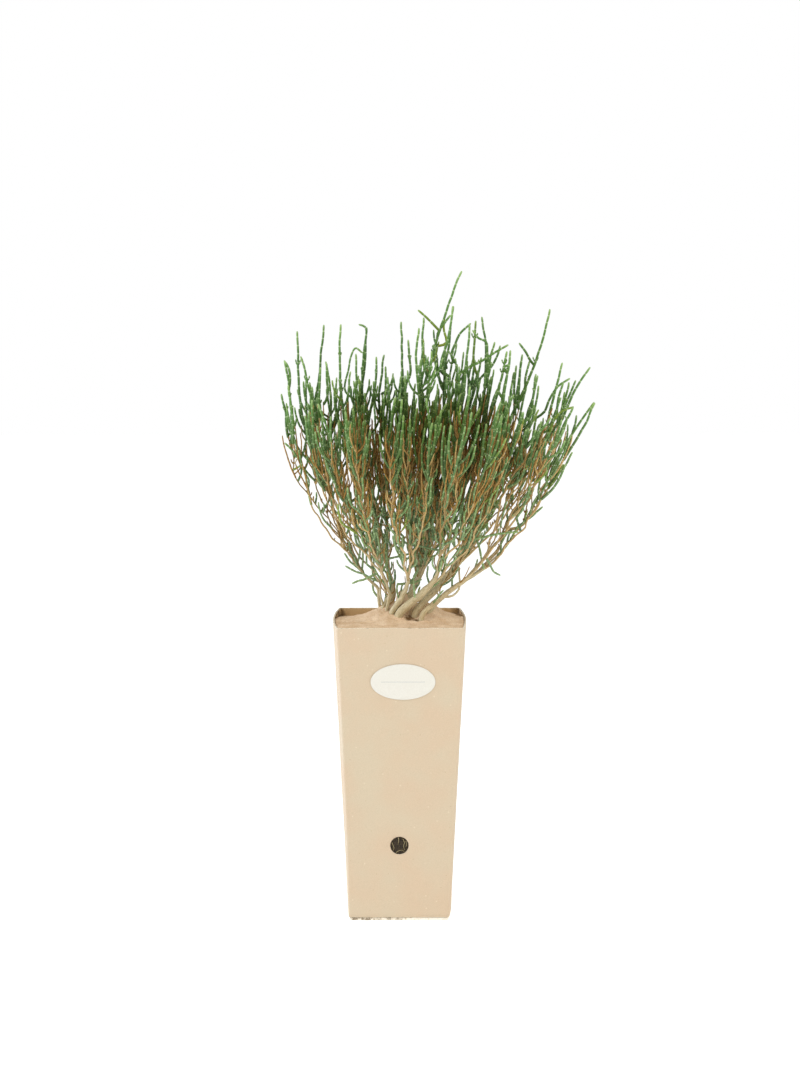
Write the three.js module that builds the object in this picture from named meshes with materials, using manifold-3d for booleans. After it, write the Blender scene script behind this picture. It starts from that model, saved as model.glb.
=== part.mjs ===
// A bushy samphire growing in sand in a tall, tapered cardboard pot.
// Millimetres, +Z up. The origin is the middle of the pot's underside, and the pot's front faces -Y.
// The pot is a folded board sleeve on a base board. It holds the root ball with a layer of sand on top.
// Each woody stem stands in its own hole in the sand, and carries its twigs and jointed shoots as one body.

import * as THREE from 'three';
import { mergeVertices } from 'three/addons/utils/BufferGeometryUtils.js';
import Module from 'manifold-3d';

const wasm = await Module();
wasm.setup();

// ---------- driving dimensions ----------

const gap = 0.3; // clearance between pieces that touch
const spare = 5; // how far a cutter reaches past what it cuts

const pot = {
  height: 305, // rim above the surface that the pot stands on
  rimWidth: 128, // fold to fold
  rimDepth: 127.7,
  footWidth: 100.3,
  footDepth: 100.1,
  wall: 1.8,
  foldRadius: 2.5,
  leftBow: 4.8, // how far the side panels bulge at the rim
  rightBow: 3.7,
  boardThickness: 3,
  boardInset: 1,
};
const drain = { radius: 9.35, across: -0.9, height: 79.5, sides: 28 };
const sticker = { width: 65, height: 36.7, thickness: 0.5, across: 2.6, centre: 250 };

const sand = {
  bottom: 240, // where the sand layer meets the root ball
  reach: 120, // radius of the turned block that the pot's inside is cut from
  rings: 9,
  ringPower: 1.4, // rings lie closer together near the stems
  sectors: 20,
  holeSides: 8,
  frontDrop: 1.5, // below the rim along the front wall
  backDrop: 7, // how much further it falls towards the back wall
  fallStart: -10, // depth at which that fall begins
  fallReach: 70,
  fallPower: 1.5,
  mound: { height: 17, across: 8, depth: 12, halfWidth: 42, halfDepth: 24, sidePower: 3 },
};

const plant = {
  sandDepth: 22, // how far a stem reaches below the rim
  footSpread: 22, // half-width of the bush at the sand
  growth: 165, // how much wider it gets
  growthHeight: 135,
  growthPower: 1.15,
  depthRatio: 0.92, // front to back against side to side
  footAcross: 9, // the middle of the bush, which leans to the right
  lean: 24,
  leanHeight: 60,
  upperLean: 0.1,
  upperLeanFrom: 120,
  upright: 1, // a stem stands straight to this far over the sand
  settle: 46, // height in which a stem swings from its foot to its place in the bush
  settlePower: 1.8,
  trunkHeight: 82,
  trunkSteps: 6,
  trunkTaper: 0.45, // the trunk's radius at its top against its foot
  twigCount: 58,
  twigSpacing: 0.21, // least distance between two twigs, as a share of the half-width
  twigReach: 0.95, // how far out twigs end, as a share of the half-width
  twigShare: 0.9, // a twig's most radius against its trunk's
  leaderDepth: 0.9, // depth at which a leader's green starts, against its tip's
  twigTop: 184, // height of the inner twigs, before the draw
  twigTopDraw: 20,
  rimFall: 25, // how much lower they end at the rim of the bush
  neck: 0.6, // radius where a twig or shoot grows out of another
  clearance: 2.6, // from a twig's or shoot's middle line to the midplane between two stems
  underTip: 12, // side shoots end at least this far below the twig's own tip
  follow: 0.7, // how much of the bush's widening a shoot takes part in
  turnUp: 3, // how quickly a shoot that swings out turns up
};
// What grows on a stem. A pair under length, out or root is the least value and the most that a draw
// adds to it; root is the place on the twig as a share of its length, and out is how far it swings out.
// A twig leaves its trunk at the height inner, or at low if it ends far from the trunk's own place.
const twig = {
  steps: 6,
  radii: [1.7, 1.05],
  sway: 5,
  inner: 70,
  low: [20, 14],
  far: 0.4,
  turnHeight: 60,
};
const topShoot = { steps: 4, radii: [1.6, 1.2], root: 0.95, length: [32, 34], spread: 16, bend: 3 };
const sideShoot = {
  steps: 4,
  radii: [1.5, 1.15],
  root: [0.95, -0.06],
  apart: 0.1,
  length: [34, 42],
  out: [6, 9],
};
const lateral = {
  steps: 3,
  radii: [1.5, 1.3],
  root: [0.25, 0.4],
  length: [22, 26],
  out: [9, 9],
  climb: 0.85,
};
const spike = { steps: 2, radii: [1.2, 0.9], root: [0.6, 0.25], length: [30, 24], out: [5, 6] };
const joint = { slim: 0.85, full: 1.1 }; // a jointed shoot's radius at and between its joints
// How many sides each kind of tube has, and how much wider a flat-sided tube is drawn than a round one.
const sides = { trunk: 6, twig: 4, shoot: 3, lateral: 3, spike: 3 };
const flatSided = { trunk: 1.04, twig: 1.1, shoot: 1.2, lateral: 1.2, spike: 1.2 };
// Steps round a square that fill it evenly, so that no two twigs start close together.
const evenSteps = [0.7548776662, 0.5698402910];

// Where each stem leaves the sand (across, depth), where it heads in the crown, as a share of the
// bush's half-width (across, depth), and its radius at the sand.
const stems = [
  { foot: [0.5, -14], crown: [0.22, -0.62], radius: 4.3 },
  { foot: [17, -12], crown: [0.5, -0.14], radius: 3.5 },
  { foot: [22, -21.5], crown: [0.74, -0.52], radius: 2.6 },
  { foot: [31, -5], crown: [0.95, 0.06], radius: 2.8 },
  { foot: [-9, -9], crown: [-0.2, -0.58], radius: 3 },
  { foot: [-13.5, -2.5], crown: [-0.6, -0.5], radius: 1.8 },
  { foot: [-17, 4], crown: [-0.5, 0.02], radius: 1.8 },
  { foot: [-20, 11.5], crown: [-0.95, 0.04], radius: 1.7 },
  { foot: [5, 1], crown: [0.02, 0.02], radius: 3.2 },
  { foot: [-8, 14], crown: [-0.55, 0.6], radius: 2.8 },
  { foot: [8, 17], crown: [0.02, 0.64], radius: 3 },
  { foot: [23, 9], crown: [0.6, 0.55], radius: 3 },
];

// The tallest shoots: the tip (across, depth, up), and where the green starts (across, up).
const leaders = [
  { tip: [-121, 10, 534], start: [-116, 495] },
  { tip: [-115, -30, 570], start: [-111, 497] },
  { tip: [-105, 25, 597], start: [-98, 497] },
  { tip: [-100, -10, 573], start: [-85, 502] },
  { tip: [-78, 40, 603], start: [-92, 525] },
  { tip: [-77, 70, 564], start: [-73, 492] },
  { tip: [-59, -40, 606], start: [-55, 520] },
  { tip: [-46, 90, 571], start: [-45, 500] },
  { tip: [-34, 20, 601], start: [-36, 518] },
  { tip: [-16, 50, 572], start: [-23, 520] },
  { tip: [1, -20, 608], start: [2, 508] },
  { tip: [18, -60, 603], start: [24, 525] },
  { tip: [62, 0, 658], start: [29, 560] },
  { tip: [55, 40, 622], start: [46, 535] },
  { tip: [70, -50, 607], start: [57, 525] },
  { tip: [83, 10, 612], start: [85, 525] },
  { tip: [113, 30, 582], start: [74, 545] },
  { tip: [106, -60, 581], start: [98, 515] },
  { tip: [151, 0, 620], start: [118, 525] },
  { tip: [141, 50, 552], start: [131, 505] },
  { tip: [163, -20, 567], start: [152, 512] },
  { tip: [181, 40, 546], start: [160, 500] },
  { tip: [191, -10, 562], start: [165, 512] },
  { tip: [172, -50, 525], start: [158, 495] },
  { tip: [199, 20, 524], start: [170, 475] },
  { tip: [173, -30, 478], start: [157, 450] },
];

// ---------- small helpers ----------

const mix = (a, b, t) => a + (b - a) * t;
const clamp = (value, low, high) => Math.min(Math.max(value, low), high);
const smooth = (t) => {
  const s = clamp(t, 0, 1);
  return s * s * (3 - 2 * s);
};

// Quick at first, then slower.
const easeOut = (t) => 1 - (1 - clamp(t, 0, 1)) ** plant.settlePower;
// A value from a pair: the least, and the most that a draw adds.
const drawn = ([least, more], draw) => least + more * draw();

// A seeded run of numbers from 0 to 1.
function draws(seed) {
  let state = seed >>> 0;
  return () => {
    state = (state + 0x6d2b79f5) >>> 0;
    let t = Math.imul(state ^ (state >>> 15), state | 1);
    t = (t + Math.imul(t ^ (t >>> 7), t | 61)) ^ t;
    return ((t ^ (t >>> 14)) >>> 0) / 4294967296;
  };
}

// A closed geometry as a solid for joins and cuts.
function solid(geometry) {
  const bare = geometry.index ? geometry.toNonIndexed() : geometry.clone();
  bare.deleteAttribute('normal');
  bare.deleteAttribute('uv');
  const merged = mergeVertices(bare, 1e-4);
  const index = merged.index.array;
  const kept = [];
  for (let i = 0; i < index.length; i += 3) {
    const [a, b, c] = [index[i], index[i + 1], index[i + 2]];
    if (a !== b && b !== c && c !== a) kept.push(a, b, c);
  }
  return new wasm.Manifold(new wasm.Mesh({
    numProp: 3,
    vertProperties: new Float32Array(merged.attributes.position.array),
    triVerts: new Uint32Array(kept),
  }));
}

function geometryOf(body) {
  const mesh = body.getMesh();
  const geometry = new THREE.BufferGeometry();
  geometry.setAttribute('position', new THREE.BufferAttribute(mesh.vertProperties, 3));
  geometry.setIndex(new THREE.BufferAttribute(mesh.triVerts, 1));
  geometry.computeVertexNormals();
  return geometry;
}

function paint(color, roughness) {
  return new THREE.MeshStandardMaterial({ color, roughness, metalness: 0 });
}

function part(name, geometry, material) {
  const mesh = new THREE.Mesh(geometry, material);
  mesh.name = name;
  return mesh;
}

// ---------- pot ----------

const rise = (z) => (z - pot.boardThickness) / (pot.height - pot.boardThickness);
const widthAt = (z) => mix(pot.footWidth, pot.rimWidth, rise(z));
const depthAt = (z) => mix(pot.footDepth, pot.rimDepth, rise(z));

// The pot's section: flat front and back panels, bowed sides and soft folds.
function section(width, depth) {
  const [x, y, r] = [width / 2, depth / 2, pot.foldRadius];
  const left = pot.leftBow * width / pot.rimWidth;
  const right = pot.rightBow * width / pot.rimWidth;
  const shape = new THREE.Shape();
  shape.moveTo(-x + r, -y);
  shape.lineTo(x - r, -y);
  shape.quadraticCurveTo(x, -y, x, -y + r);
  shape.quadraticCurveTo(x + 2 * right, 0, x, y - r);
  shape.quadraticCurveTo(x, y, x - r, y);
  shape.lineTo(-x + r, y);
  shape.quadraticCurveTo(-x, y, -x, y - r);
  shape.quadraticCurveTo(-x - 2 * left, 0, -x, -y + r);
  shape.quadraticCurveTo(-x, -y, -x + r, -y);
  return shape;
}

// A tapered block that follows the pot, set in from its outer face.
function potBlock(inset, low, high) {
  const width = widthAt(high) - 2 * inset;
  const depth = depthAt(high) - 2 * inset;
  const geometry = new THREE.ExtrudeGeometry(section(width, depth), {
    depth: high - low,
    bevelEnabled: false,
    curveSegments: 5,
  });
  const footX = (widthAt(low) - 2 * inset) / width;
  const footY = (depthAt(low) - 2 * inset) / depth;
  const position = geometry.attributes.position;
  for (let i = 0; i < position.count; i += 1) {
    const t = position.getZ(i) / (high - low);
    position.setX(i, position.getX(i) * mix(footX, 1, t));
    position.setY(i, position.getY(i) * mix(footY, 1, t));
  }
  geometry.translate(0, 0, low);
  return geometry;
}

function makeSleeve() {
  const low = pot.boardThickness + gap;
  const outer = solid(potBlock(0, low, pot.height));
  const inner = solid(potBlock(pot.wall, low - spare, pot.height + spare));
  const hole = new THREE.CylinderGeometry(drain.radius, drain.radius, 20, drain.sides);
  hole.translate(drain.across, -depthAt(drain.height) / 2, drain.height);
  return geometryOf(outer.subtract(inner).subtract(solid(hole)));
}

function makeBoard() {
  const shape = section(pot.footWidth - 2 * pot.boardInset, pot.footDepth - 2 * pot.boardInset);
  return new THREE.ExtrudeGeometry(shape, {
    depth: pot.boardThickness,
    bevelEnabled: false,
    curveSegments: 5,
  });
}

function makeRootBall() {
  return potBlock(pot.wall + gap, pot.boardThickness + gap, sand.bottom - gap);
}

function makeSticker() {
  const oval = new THREE.Shape();
  oval.absellipse(0, 0, sticker.width / 2, sticker.height / 2, 0, 2 * Math.PI);
  const geometry = new THREE.ExtrudeGeometry(oval, {
    depth: sticker.thickness,
    bevelEnabled: false,
    curveSegments: 24,
  });
  const slant = Math.atan2(pot.rimDepth - pot.footDepth, 2 * (pot.height - pot.boardThickness));
  const mesh = part('label', geometry, paint(0xf4f1e6, 0.6));
  mesh.rotation.x = Math.PI / 2 + slant;
  mesh.position.set(
    sticker.across,
    -depthAt(sticker.centre) / 2 - gap * Math.cos(slant),
    sticker.centre - gap * Math.sin(slant),
  );
  return mesh;
}

// ---------- sand ----------

// The sand's surface over the rim's level: heaped round the stems, and lower towards the back.
function sandLevel(x, y) {
  const { height, across, depth, halfWidth, halfDepth, sidePower } = sand.mound;
  const sideways = Math.abs((x - across) / halfWidth) ** sidePower;
  const heap = Math.exp(-sideways - ((y - depth) / halfDepth) ** 2);
  const back = clamp((y - sand.fallStart) / sand.fallReach, 0, 1) ** sand.fallPower;
  return height * heap - sand.frontDrop - sand.backDrop * back;
}

function makeSand() {
  const { across, depth } = sand.mound;
  const profile = [new THREE.Vector2(0, 0), new THREE.Vector2(sand.reach, 0)];
  for (let k = sand.rings; k >= 0; k -= 1) {
    profile.push(new THREE.Vector2(sand.reach * (k / sand.rings) ** sand.ringPower, 1));
  }
  const block = new THREE.LatheGeometry(profile, sand.sectors);
  block.rotateX(Math.PI / 2);
  const position = block.attributes.position;
  for (let i = 0; i < position.count; i += 1) {
    const [x, y] = [position.getX(i) + across, position.getY(i) + depth];
    const top = pot.height + sandLevel(x, y);
    position.setXYZ(i, x, y, position.getZ(i) > 0.5 ? top : sand.bottom);
  }
  const fill = solid(potBlock(pot.wall + gap, sand.bottom - spare, pot.height + sand.mound.height + spare));
  let body = solid(block).intersect(fill);
  const holeHeight = 80;
  for (const stem of stems) {
    const radius = (stem.radius * flatSided.trunk + gap) / Math.cos(Math.PI / sand.holeSides);
    const hole = new THREE.CylinderGeometry(radius, radius, holeHeight, sand.holeSides);
    hole.rotateX(Math.PI / 2);
    hole.translate(stem.foot[0], stem.foot[1], pot.height - plant.sandDepth - gap + holeHeight / 2);
    body = body.subtract(solid(hole));
  }
  return geometryOf(body);
}

// ---------- how the bush grows ----------

// Heights here are over the rim. The bush is a vase: wide quickly, then more upright.
function spreadAt(height) {
  const grown = (Math.max(height, 0) / plant.growthHeight) ** plant.growthPower;
  return plant.footSpread + plant.growth * (1 - Math.exp(-grown));
}

function middleAt(height) {
  const low = plant.lean * (1 - Math.exp(-Math.max(height, 0) / plant.leanHeight));
  return plant.footAcross + low + plant.upperLean * Math.max(0, height - plant.upperLeanFrom);
}

// A point of the bush from its share of the half-width.
function flow(u, v, height) {
  const spread = spreadAt(height);
  return [middleAt(height) + spread * u, plant.depthRatio * spread * v];
}

// Where a stem stops standing straight.
const startOf = (stem) => sandLevel(stem.foot[0], stem.foot[1]) + plant.upright;

// The middle line of a stem.
function stemAt(stem, height) {
  const t = easeOut((height - startOf(stem)) / plant.settle);
  const crown = flow(stem.crown[0], stem.crown[1], height);
  return [mix(stem.foot[0], crown[0], t), mix(stem.foot[1], crown[1], t)];
}

// A point of one stem is kept on its own side of the midplane to each other stem.
function confine(stem, x, y, height, margin) {
  const [ownX, ownY] = stemAt(stem, height);
  for (let pass = 0; pass < 3; pass += 1) {
    for (const other of stems) {
      if (other === stem) continue;
      const [otherX, otherY] = stemAt(other, height);
      const distance = Math.hypot(otherX - ownX, otherY - ownY);
      const [nx, ny] = [(otherX - ownX) / distance, (otherY - ownY) / distance];
      const over = (x - ownX) * nx + (y - ownY) * ny - distance / 2 + margin;
      if (over > 0) {
        x -= over * nx;
        y -= over * ny;
      }
    }
  }
  return new THREE.Vector3(x, y, pot.height + height);
}

// The stem whose middle line is nearest.
function owner(x, y, height) {
  let best = stems[0];
  let least = Infinity;
  for (const stem of stems) {
    const [sx, sy] = stemAt(stem, height);
    const distance = Math.hypot(x - sx, y - sy);
    if (distance < least) {
      least = distance;
      best = stem;
    }
  }
  return best;
}

// Steps along a shoot: even ones, and a short last one, so that the tip is blunt.
const stride = (k, steps) => (k === steps ? 1 : (0.95 * k) / (steps - 1));

// A point on a path at a share of its length, counted in its own steps.
function along(path, t) {
  const place = clamp(t, 0, 1) * (path.length - 1);
  const k = Math.min(Math.floor(place), path.length - 2);
  return path[k].clone().lerp(path[k + 1], place - k);
}

// Every twig's place in the bush: the leaders first, then an even fill of the rest.
function twigTargets() {
  const targets = leaders.map(({ tip, start }) => {
    const height = start[1] - pot.height;
    const spread = spreadAt(height);
    return {
      u: (start[0] - middleAt(height)) / spread,
      v: tip[1] * plant.leaderDepth / (plant.depthRatio * spread),
      top: height,
      tip,
    };
  });
  for (let n = 1; targets.length < plant.twigCount; n += 1) {
    const radius = Math.sqrt((0.5 + n * evenSteps[0]) % 1) * plant.twigReach;
    const angle = 2 * Math.PI * ((0.5 + n * evenSteps[1]) % 1);
    const [u, v] = [radius * Math.cos(angle), radius * Math.sin(angle)];
    const crowded = targets.some((other) => Math.hypot(other.u - u, other.v - v) < plant.twigSpacing);
    if (crowded) continue;
    const draw = draws(n);
    const top = plant.twigTop - plant.rimFall * radius ** 3 + plant.twigTopDraw * draw();
    targets.push({ u, v, top, tip: null });
  }
  return targets;
}

function trunkRadius(stem, height) {
  return stem.radius * mix(1, plant.trunkTaper, clamp(height / plant.trunkHeight, 0, 1));
}

function trunkPath(stem) {
  const start = startOf(stem);
  const heights = [-plant.sandDepth, start];
  for (let k = 1; k <= plant.trunkSteps; k += 1) {
    heights.push(mix(start, plant.trunkHeight, k / plant.trunkSteps));
  }
  return heights.map((height) => {
    const [x, y] = stemAt(stem, height);
    return confine(stem, x, y, height, trunkRadius(stem, height) + 2 * gap);
  });
}

function trunkPoint(trunk, height) {
  const z = pot.height + height;
  let k = 0;
  while (k < trunk.length - 2 && trunk[k + 1].z < z) k += 1;
  const t = clamp((z - trunk[k].z) / (trunk[k + 1].z - trunk[k].z), 0, 1);
  return trunk[k].clone().lerp(trunk[k + 1], t);
}

// A twig leaves the stem low if it ends far out, and follows the bush's flow to its top.
function twigPath(stem, root, target, fork, draw) {
  const path = [root];
  for (let k = 1; k <= twig.steps; k += 1) {
    const height = mix(fork, target.top, k / twig.steps);
    const [sx, sy] = stemAt(stem, height);
    const [fx, fy] = flow(target.u, target.v, height);
    const t = smooth((height - fork) / twig.turnHeight);
    const sway = k < twig.steps ? twig.sway : 0;
    const x = mix(sx, fx, t) + sway * (draw() - 0.5);
    const y = mix(sy, fy, t) + sway * (draw() - 0.5);
    path.push(confine(stem, x, y, height, plant.clearance));
  }
  return path;
}

// The shoot that ends a twig: to its own tip, or on along the flow.
function topPath(stem, foot, target, draw) {
  const { tip } = target;
  const high = tip ? tip[2] - pot.height : target.top + drawn(topShoot.length, draw);
  const [fx, fy] = flow(target.u, target.v, high);
  const x1 = tip ? tip[0] : fx + topShoot.spread * (draw() - 0.5);
  const y1 = tip ? tip[1] : fy + topShoot.spread * (draw() - 0.5);
  const path = [foot];
  for (let k = 1; k <= topShoot.steps; k += 1) {
    const t = stride(k, topShoot.steps);
    const bend = topShoot.bend * Math.sin(Math.PI * t) * (draw() - 0.5);
    const height = mix(foot.z - pot.height, high, t);
    path.push(confine(stem, mix(foot.x, x1, t) + bend, mix(foot.y, y1, t) + bend, height, plant.clearance));
  }
  return path;
}

// A shoot that leaves a twig sideways and turns up, and ends no higher than its limit.
function shootPath(stem, root, kind, draw, limit = Infinity) {
  const length = Math.min(drawn(kind.length, draw), limit - root.z);
  const side = 2 * Math.PI * draw();
  const out = drawn(kind.out, draw);
  const foot = root.z - pot.height;
  const [u0, v0] = flow(0, 0, foot);
  const path = [root];
  for (let k = 1; k <= kind.steps; k += 1) {
    const t = stride(k, kind.steps);
    const height = foot + (kind.climb ?? 1) * length * t * (0.8 + 0.2 * t);
    const swing = out * (1 - Math.exp(-plant.turnUp * t));
    const [u1, v1] = flow(0, 0, height);
    const widen = mix(1, spreadAt(height) / spreadAt(foot), plant.follow);
    const x = u1 + (root.x - u0) * widen + swing * Math.cos(side);
    const y = v1 + (root.y - v0) * widen + swing * Math.sin(side);
    path.push(confine(stem, x, y, height, plant.clearance));
  }
  return path;
}

// Every axis of one stem: its trunk, twigs and shoots, each a path with a radius at both ends.
function growStem(stem, stemIndex, targets) {
  const trunk = trunkPath(stem);
  const axes = [{ kind: 'trunk', path: trunk, radii: [stem.radius, stem.radius * plant.trunkTaper] }];
  const own = targets.filter((target) => {
    const [x, y] = flow(target.u, target.v, target.top);
    return owner(x, y, target.top) === stem;
  });
  const away = (target) => Math.hypot(target.u - stem.crown[0], target.v - stem.crown[1]);
  own.sort((a, b) => away(a) - away(b));
  own.forEach((target, twigIndex) => {
    const draw = draws(1000 * (stemIndex + 1) + 10 * twigIndex);
    const outer = mix(twig.inner, drawn(twig.low, draw), clamp(away(target) / twig.far, 0, 1));
    const fork = twigIndex === 0 ? plant.trunkHeight - 2 : outer;
    const path = twigPath(stem, trunkPoint(trunk, fork), target, fork, draw);
    const top = topPath(stem, along(path, topShoot.root), target, draw);
    const thick = Math.min(twig.radii[0], trunkRadius(stem, fork) * plant.twigShare);
    axes.push({ kind: 'twig', path, radii: [thick, twig.radii[1]] });
    axes.push({ kind: 'shoot', path: top, radii: topShoot.radii });
    const limit = top[topShoot.steps].z - plant.underTip;
    for (let k = 0; k < 1 + (twigIndex % 2); k += 1) {
      const root = along(path, drawn(sideShoot.root, draw) - sideShoot.apart * k);
      const side = shootPath(stem, root, sideShoot, draw, limit);
      axes.push({ kind: 'shoot', path: side, radii: sideShoot.radii });
    }
    const low = along(path, drawn(lateral.root, draw));
    axes.push({ kind: 'lateral', path: shootPath(stem, low, lateral, draw), radii: lateral.radii });
    if (twigIndex % 3 < 2) {
      const dry = along(path, drawn(spike.root, draw));
      axes.push({ kind: 'spike', path: shootPath(stem, dry, spike, draw), radii: spike.radii });
    }
  });
  return axes;
}

// ---------- stems as solids ----------

// A turned profile with one ring for each point of the path, closed on the axis at both ends,
// then bent along the path.
function bentTube(path, radii, sideCount) {
  const profile = [new THREE.Vector2(0, 0)];
  radii.forEach((radius, k) => profile.push(new THREE.Vector2(radius, k)));
  profile.push(new THREE.Vector2(0, path.length - 1));
  const geometry = new THREE.LatheGeometry(profile, sideCount);
  const frames = [];
  let side = new THREE.Vector3(1, 0, 0);
  path.forEach((point, k) => {
    const before = path[Math.max(k - 1, 0)];
    const after = path[Math.min(k + 1, path.length - 1)];
    const forward = after.clone().sub(before).normalize();
    side = side.clone().addScaledVector(forward, -side.dot(forward)).normalize();
    frames.push({ point, side, front: new THREE.Vector3().crossVectors(side, forward) });
  });
  const position = geometry.attributes.position;
  for (let i = 0; i < position.count; i += 1) {
    const frame = frames[Math.round(position.getY(i))];
    const place = frame.point.clone();
    place.addScaledVector(frame.side, position.getX(i)).addScaledVector(frame.front, position.getZ(i));
    position.setXYZ(i, place.x, place.y, place.z);
  }
  return geometry;
}

// Each axis but the trunk has a narrow neck where it grows out. Joints show as a swelling at every
// other ring of a shoot.
function ringRadii(axis) {
  const count = axis.path.length;
  const jointed = axis.kind === 'shoot' || axis.kind === 'lateral';
  return axis.path.slice(0, -1).map((_, k) => {
    if (k === 0 && axis.kind !== 'trunk') return plant.neck;
    const plain = mix(axis.radii[0], axis.radii[1], k / (count - 1)) * flatSided[axis.kind];
    return jointed ? plain * (k % 2 === 0 ? joint.slim : joint.full) : plain;
  });
}

function makeStem(axes) {
  const tubes = axes.map((axis) => solid(bentTube(axis.path, ringRadii(axis), sides[axis.kind])));
  return geometryOf(wasm.Manifold.union(tubes));
}

// ---------- assembly ----------

const card = paint(0xe2d0b0, 0.85);
const group = new THREE.Group();
group.add(part('pot_sleeve', makeSleeve(), card));
group.add(part('base_board', makeBoard(), paint(0xe9e2d2, 0.9)));
group.add(part('root_ball', makeRootBall(), paint(0x2f2119, 0.95)));
group.add(part('sand', makeSand(), paint(0xd7b99b, 0.95)));
group.add(makeSticker());

const targets = twigTargets();
const shades = [0x4f7f4c, 0x5a8a55, 0x477a55];
stems.forEach((stem, k) => {
  const axes = growStem(stem, k, targets);
  const name = `stem_${String(k + 1).padStart(2, '0')}`;
  group.add(part(name, makeStem(axes), paint(shades[k % shades.length], 0.6)));
});

export default group;
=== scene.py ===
# A bushy samphire in sand, in a tall pot folded from recycled board.
# Sizes are in millimetres until a mesh is made, and the pot's front faces -Y.
import math

import bmesh
import bpy
import numpy as np
from mathutils import Matrix, Vector, noise


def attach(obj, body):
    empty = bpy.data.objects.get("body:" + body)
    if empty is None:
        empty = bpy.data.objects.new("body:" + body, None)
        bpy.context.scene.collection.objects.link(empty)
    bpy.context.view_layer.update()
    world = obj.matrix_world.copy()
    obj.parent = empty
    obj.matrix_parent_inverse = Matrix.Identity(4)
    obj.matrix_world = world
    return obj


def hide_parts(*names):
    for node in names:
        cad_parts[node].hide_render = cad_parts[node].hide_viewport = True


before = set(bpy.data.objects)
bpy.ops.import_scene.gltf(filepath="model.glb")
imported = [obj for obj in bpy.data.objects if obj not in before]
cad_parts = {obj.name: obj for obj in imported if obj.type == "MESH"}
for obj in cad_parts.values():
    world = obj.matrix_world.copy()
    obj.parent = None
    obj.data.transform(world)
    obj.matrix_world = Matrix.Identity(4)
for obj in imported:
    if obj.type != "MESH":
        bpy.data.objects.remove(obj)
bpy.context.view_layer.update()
metre = 0.001  # one millimetre in metres
print("frame loaded,", len(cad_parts), "nodes")


# small helpers

def mix(a, b, t):
    return a + (b - a) * t


def clamp(value, low, high):
    return min(max(value, low), high)


def smooth(t):
    s = clamp(t, 0, 1)
    return s * s * (3 - 2 * s)


def easeOut(t):
    return 1 - (1 - clamp(t, 0, 1)) ** 1.8


def drawn(pair, draw):  # from the least value, and the most that a draw adds
    return pair[0] + pair[1] * draw()


def draws(seed):  # a seeded run of numbers from 0 to 1
    mask = 0xffffffff
    state = seed & mask

    def nextDraw():
        nonlocal state
        state = (state + 0x6d2b79f5) & mask
        t = ((state ^ (state >> 15)) * (state | 1)) & mask
        t = ((t + (((t ^ (t >> 7)) * (t | 61)) & mask)) ^ t) & mask
        return ((t ^ (t >> 14)) & mask) / 4294967296

    return nextDraw


def grain(x, y, z, octaves=3):  # soft noise around 0, roughly -1 to 1
    return noise.fractal(Vector((x, y, z)), 1.0, 2.0, octaves)


def colour(code, alpha=1.0):  # an sRGB hex value as linear light
    parts = [int(code[k:k + 2], 16) / 255 for k in (1, 3, 5)]
    return [p / 12.92 if p <= 0.04045 else ((p + 0.055) / 1.055) ** 2.4 for p in parts] + [alpha]


def makeMesh(name, points, faces, materials, faceMaterial=None, values=None, rounded=True):
    mesh = bpy.data.meshes.new(name)
    mesh.from_pydata((np.asarray(points) * metre).tolist(), [], faces)
    for key, data in (values or {}).items():
        data = np.asarray(data, np.float32)
        kind = "FLOAT_VECTOR" if data.ndim == 2 else "FLOAT"
        field = "vector" if data.ndim == 2 else "value"
        mesh.attributes.new(key, kind, "POINT").data.foreach_set(field, data.ravel())
    for material in materials:
        mesh.materials.append(material)
    if faceMaterial is not None:
        mesh.polygons.foreach_set("material_index", faceMaterial)
    mesh.polygons.foreach_set("use_smooth", [rounded] * len(mesh.polygons))
    mesh.validate()
    piece = bpy.data.objects.new(name, mesh)
    bpy.context.scene.collection.objects.link(piece)
    return piece


def bands(rows, count, closed=False, capped=False):  # faces between rings of points, ring after ring
    faces = []
    for k in range(rows if closed else rows - 1):
        low, high = k * count, (k + 1) % rows * count
        faces += [(low + j, low + (j + 1) % count, high + (j + 1) % count, high + j) for j in range(count)]
    if capped:
        faces += [tuple(range(count - 1, -1, -1)), tuple((rows - 1) * count + j for j in range(count))]
    return faces


def circle(count):
    return [2 * math.pi * j / count for j in range(count)]


def dress(piece, slot, *nodes):  # rides on the root, and stands for CAD nodes, which it hides; slot is not used
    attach(piece, "root")
    if nodes:
        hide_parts(*nodes)


# materials

blend = {"data_type": "RGBA"}
multiply = {"data_type": "RGBA", "blend_type": "MULTIPLY"}


def newMaterial(name):
    material = bpy.data.materials.new(name)
    material.use_nodes = True
    return material, material.node_tree


def plug(tree, value, socket):  # a node, a socket, an sRGB code or a number goes into a socket
    if isinstance(value, bpy.types.Node):
        value = next(output for output in value.outputs if output.enabled)
    if isinstance(value, bpy.types.NodeSocket):
        tree.links.new(value, socket)
    else:
        socket.default_value = colour(value) if isinstance(value, str) else value


def addNode(tree, kind, settings=None, stops=(), **inputs):
    # a node with its settings, colour stops and inputs, which are named or counted as i0, i1 and on
    node = tree.nodes.new("ShaderNode" + kind)
    for key, value in (settings or {}).items():
        setattr(node, key, value)
    for key, value in inputs.items():
        plug(tree, value, node.inputs[int(key[1:]) if key[1:].isdigit() else key])
    if stops:
        elements = node.color_ramp.elements
        while len(elements) < len(stops):
            elements.new(0.5)
        for element, (position, code) in zip(elements, stops):
            element.position = position
            element.color = colour(code)
    return node


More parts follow.
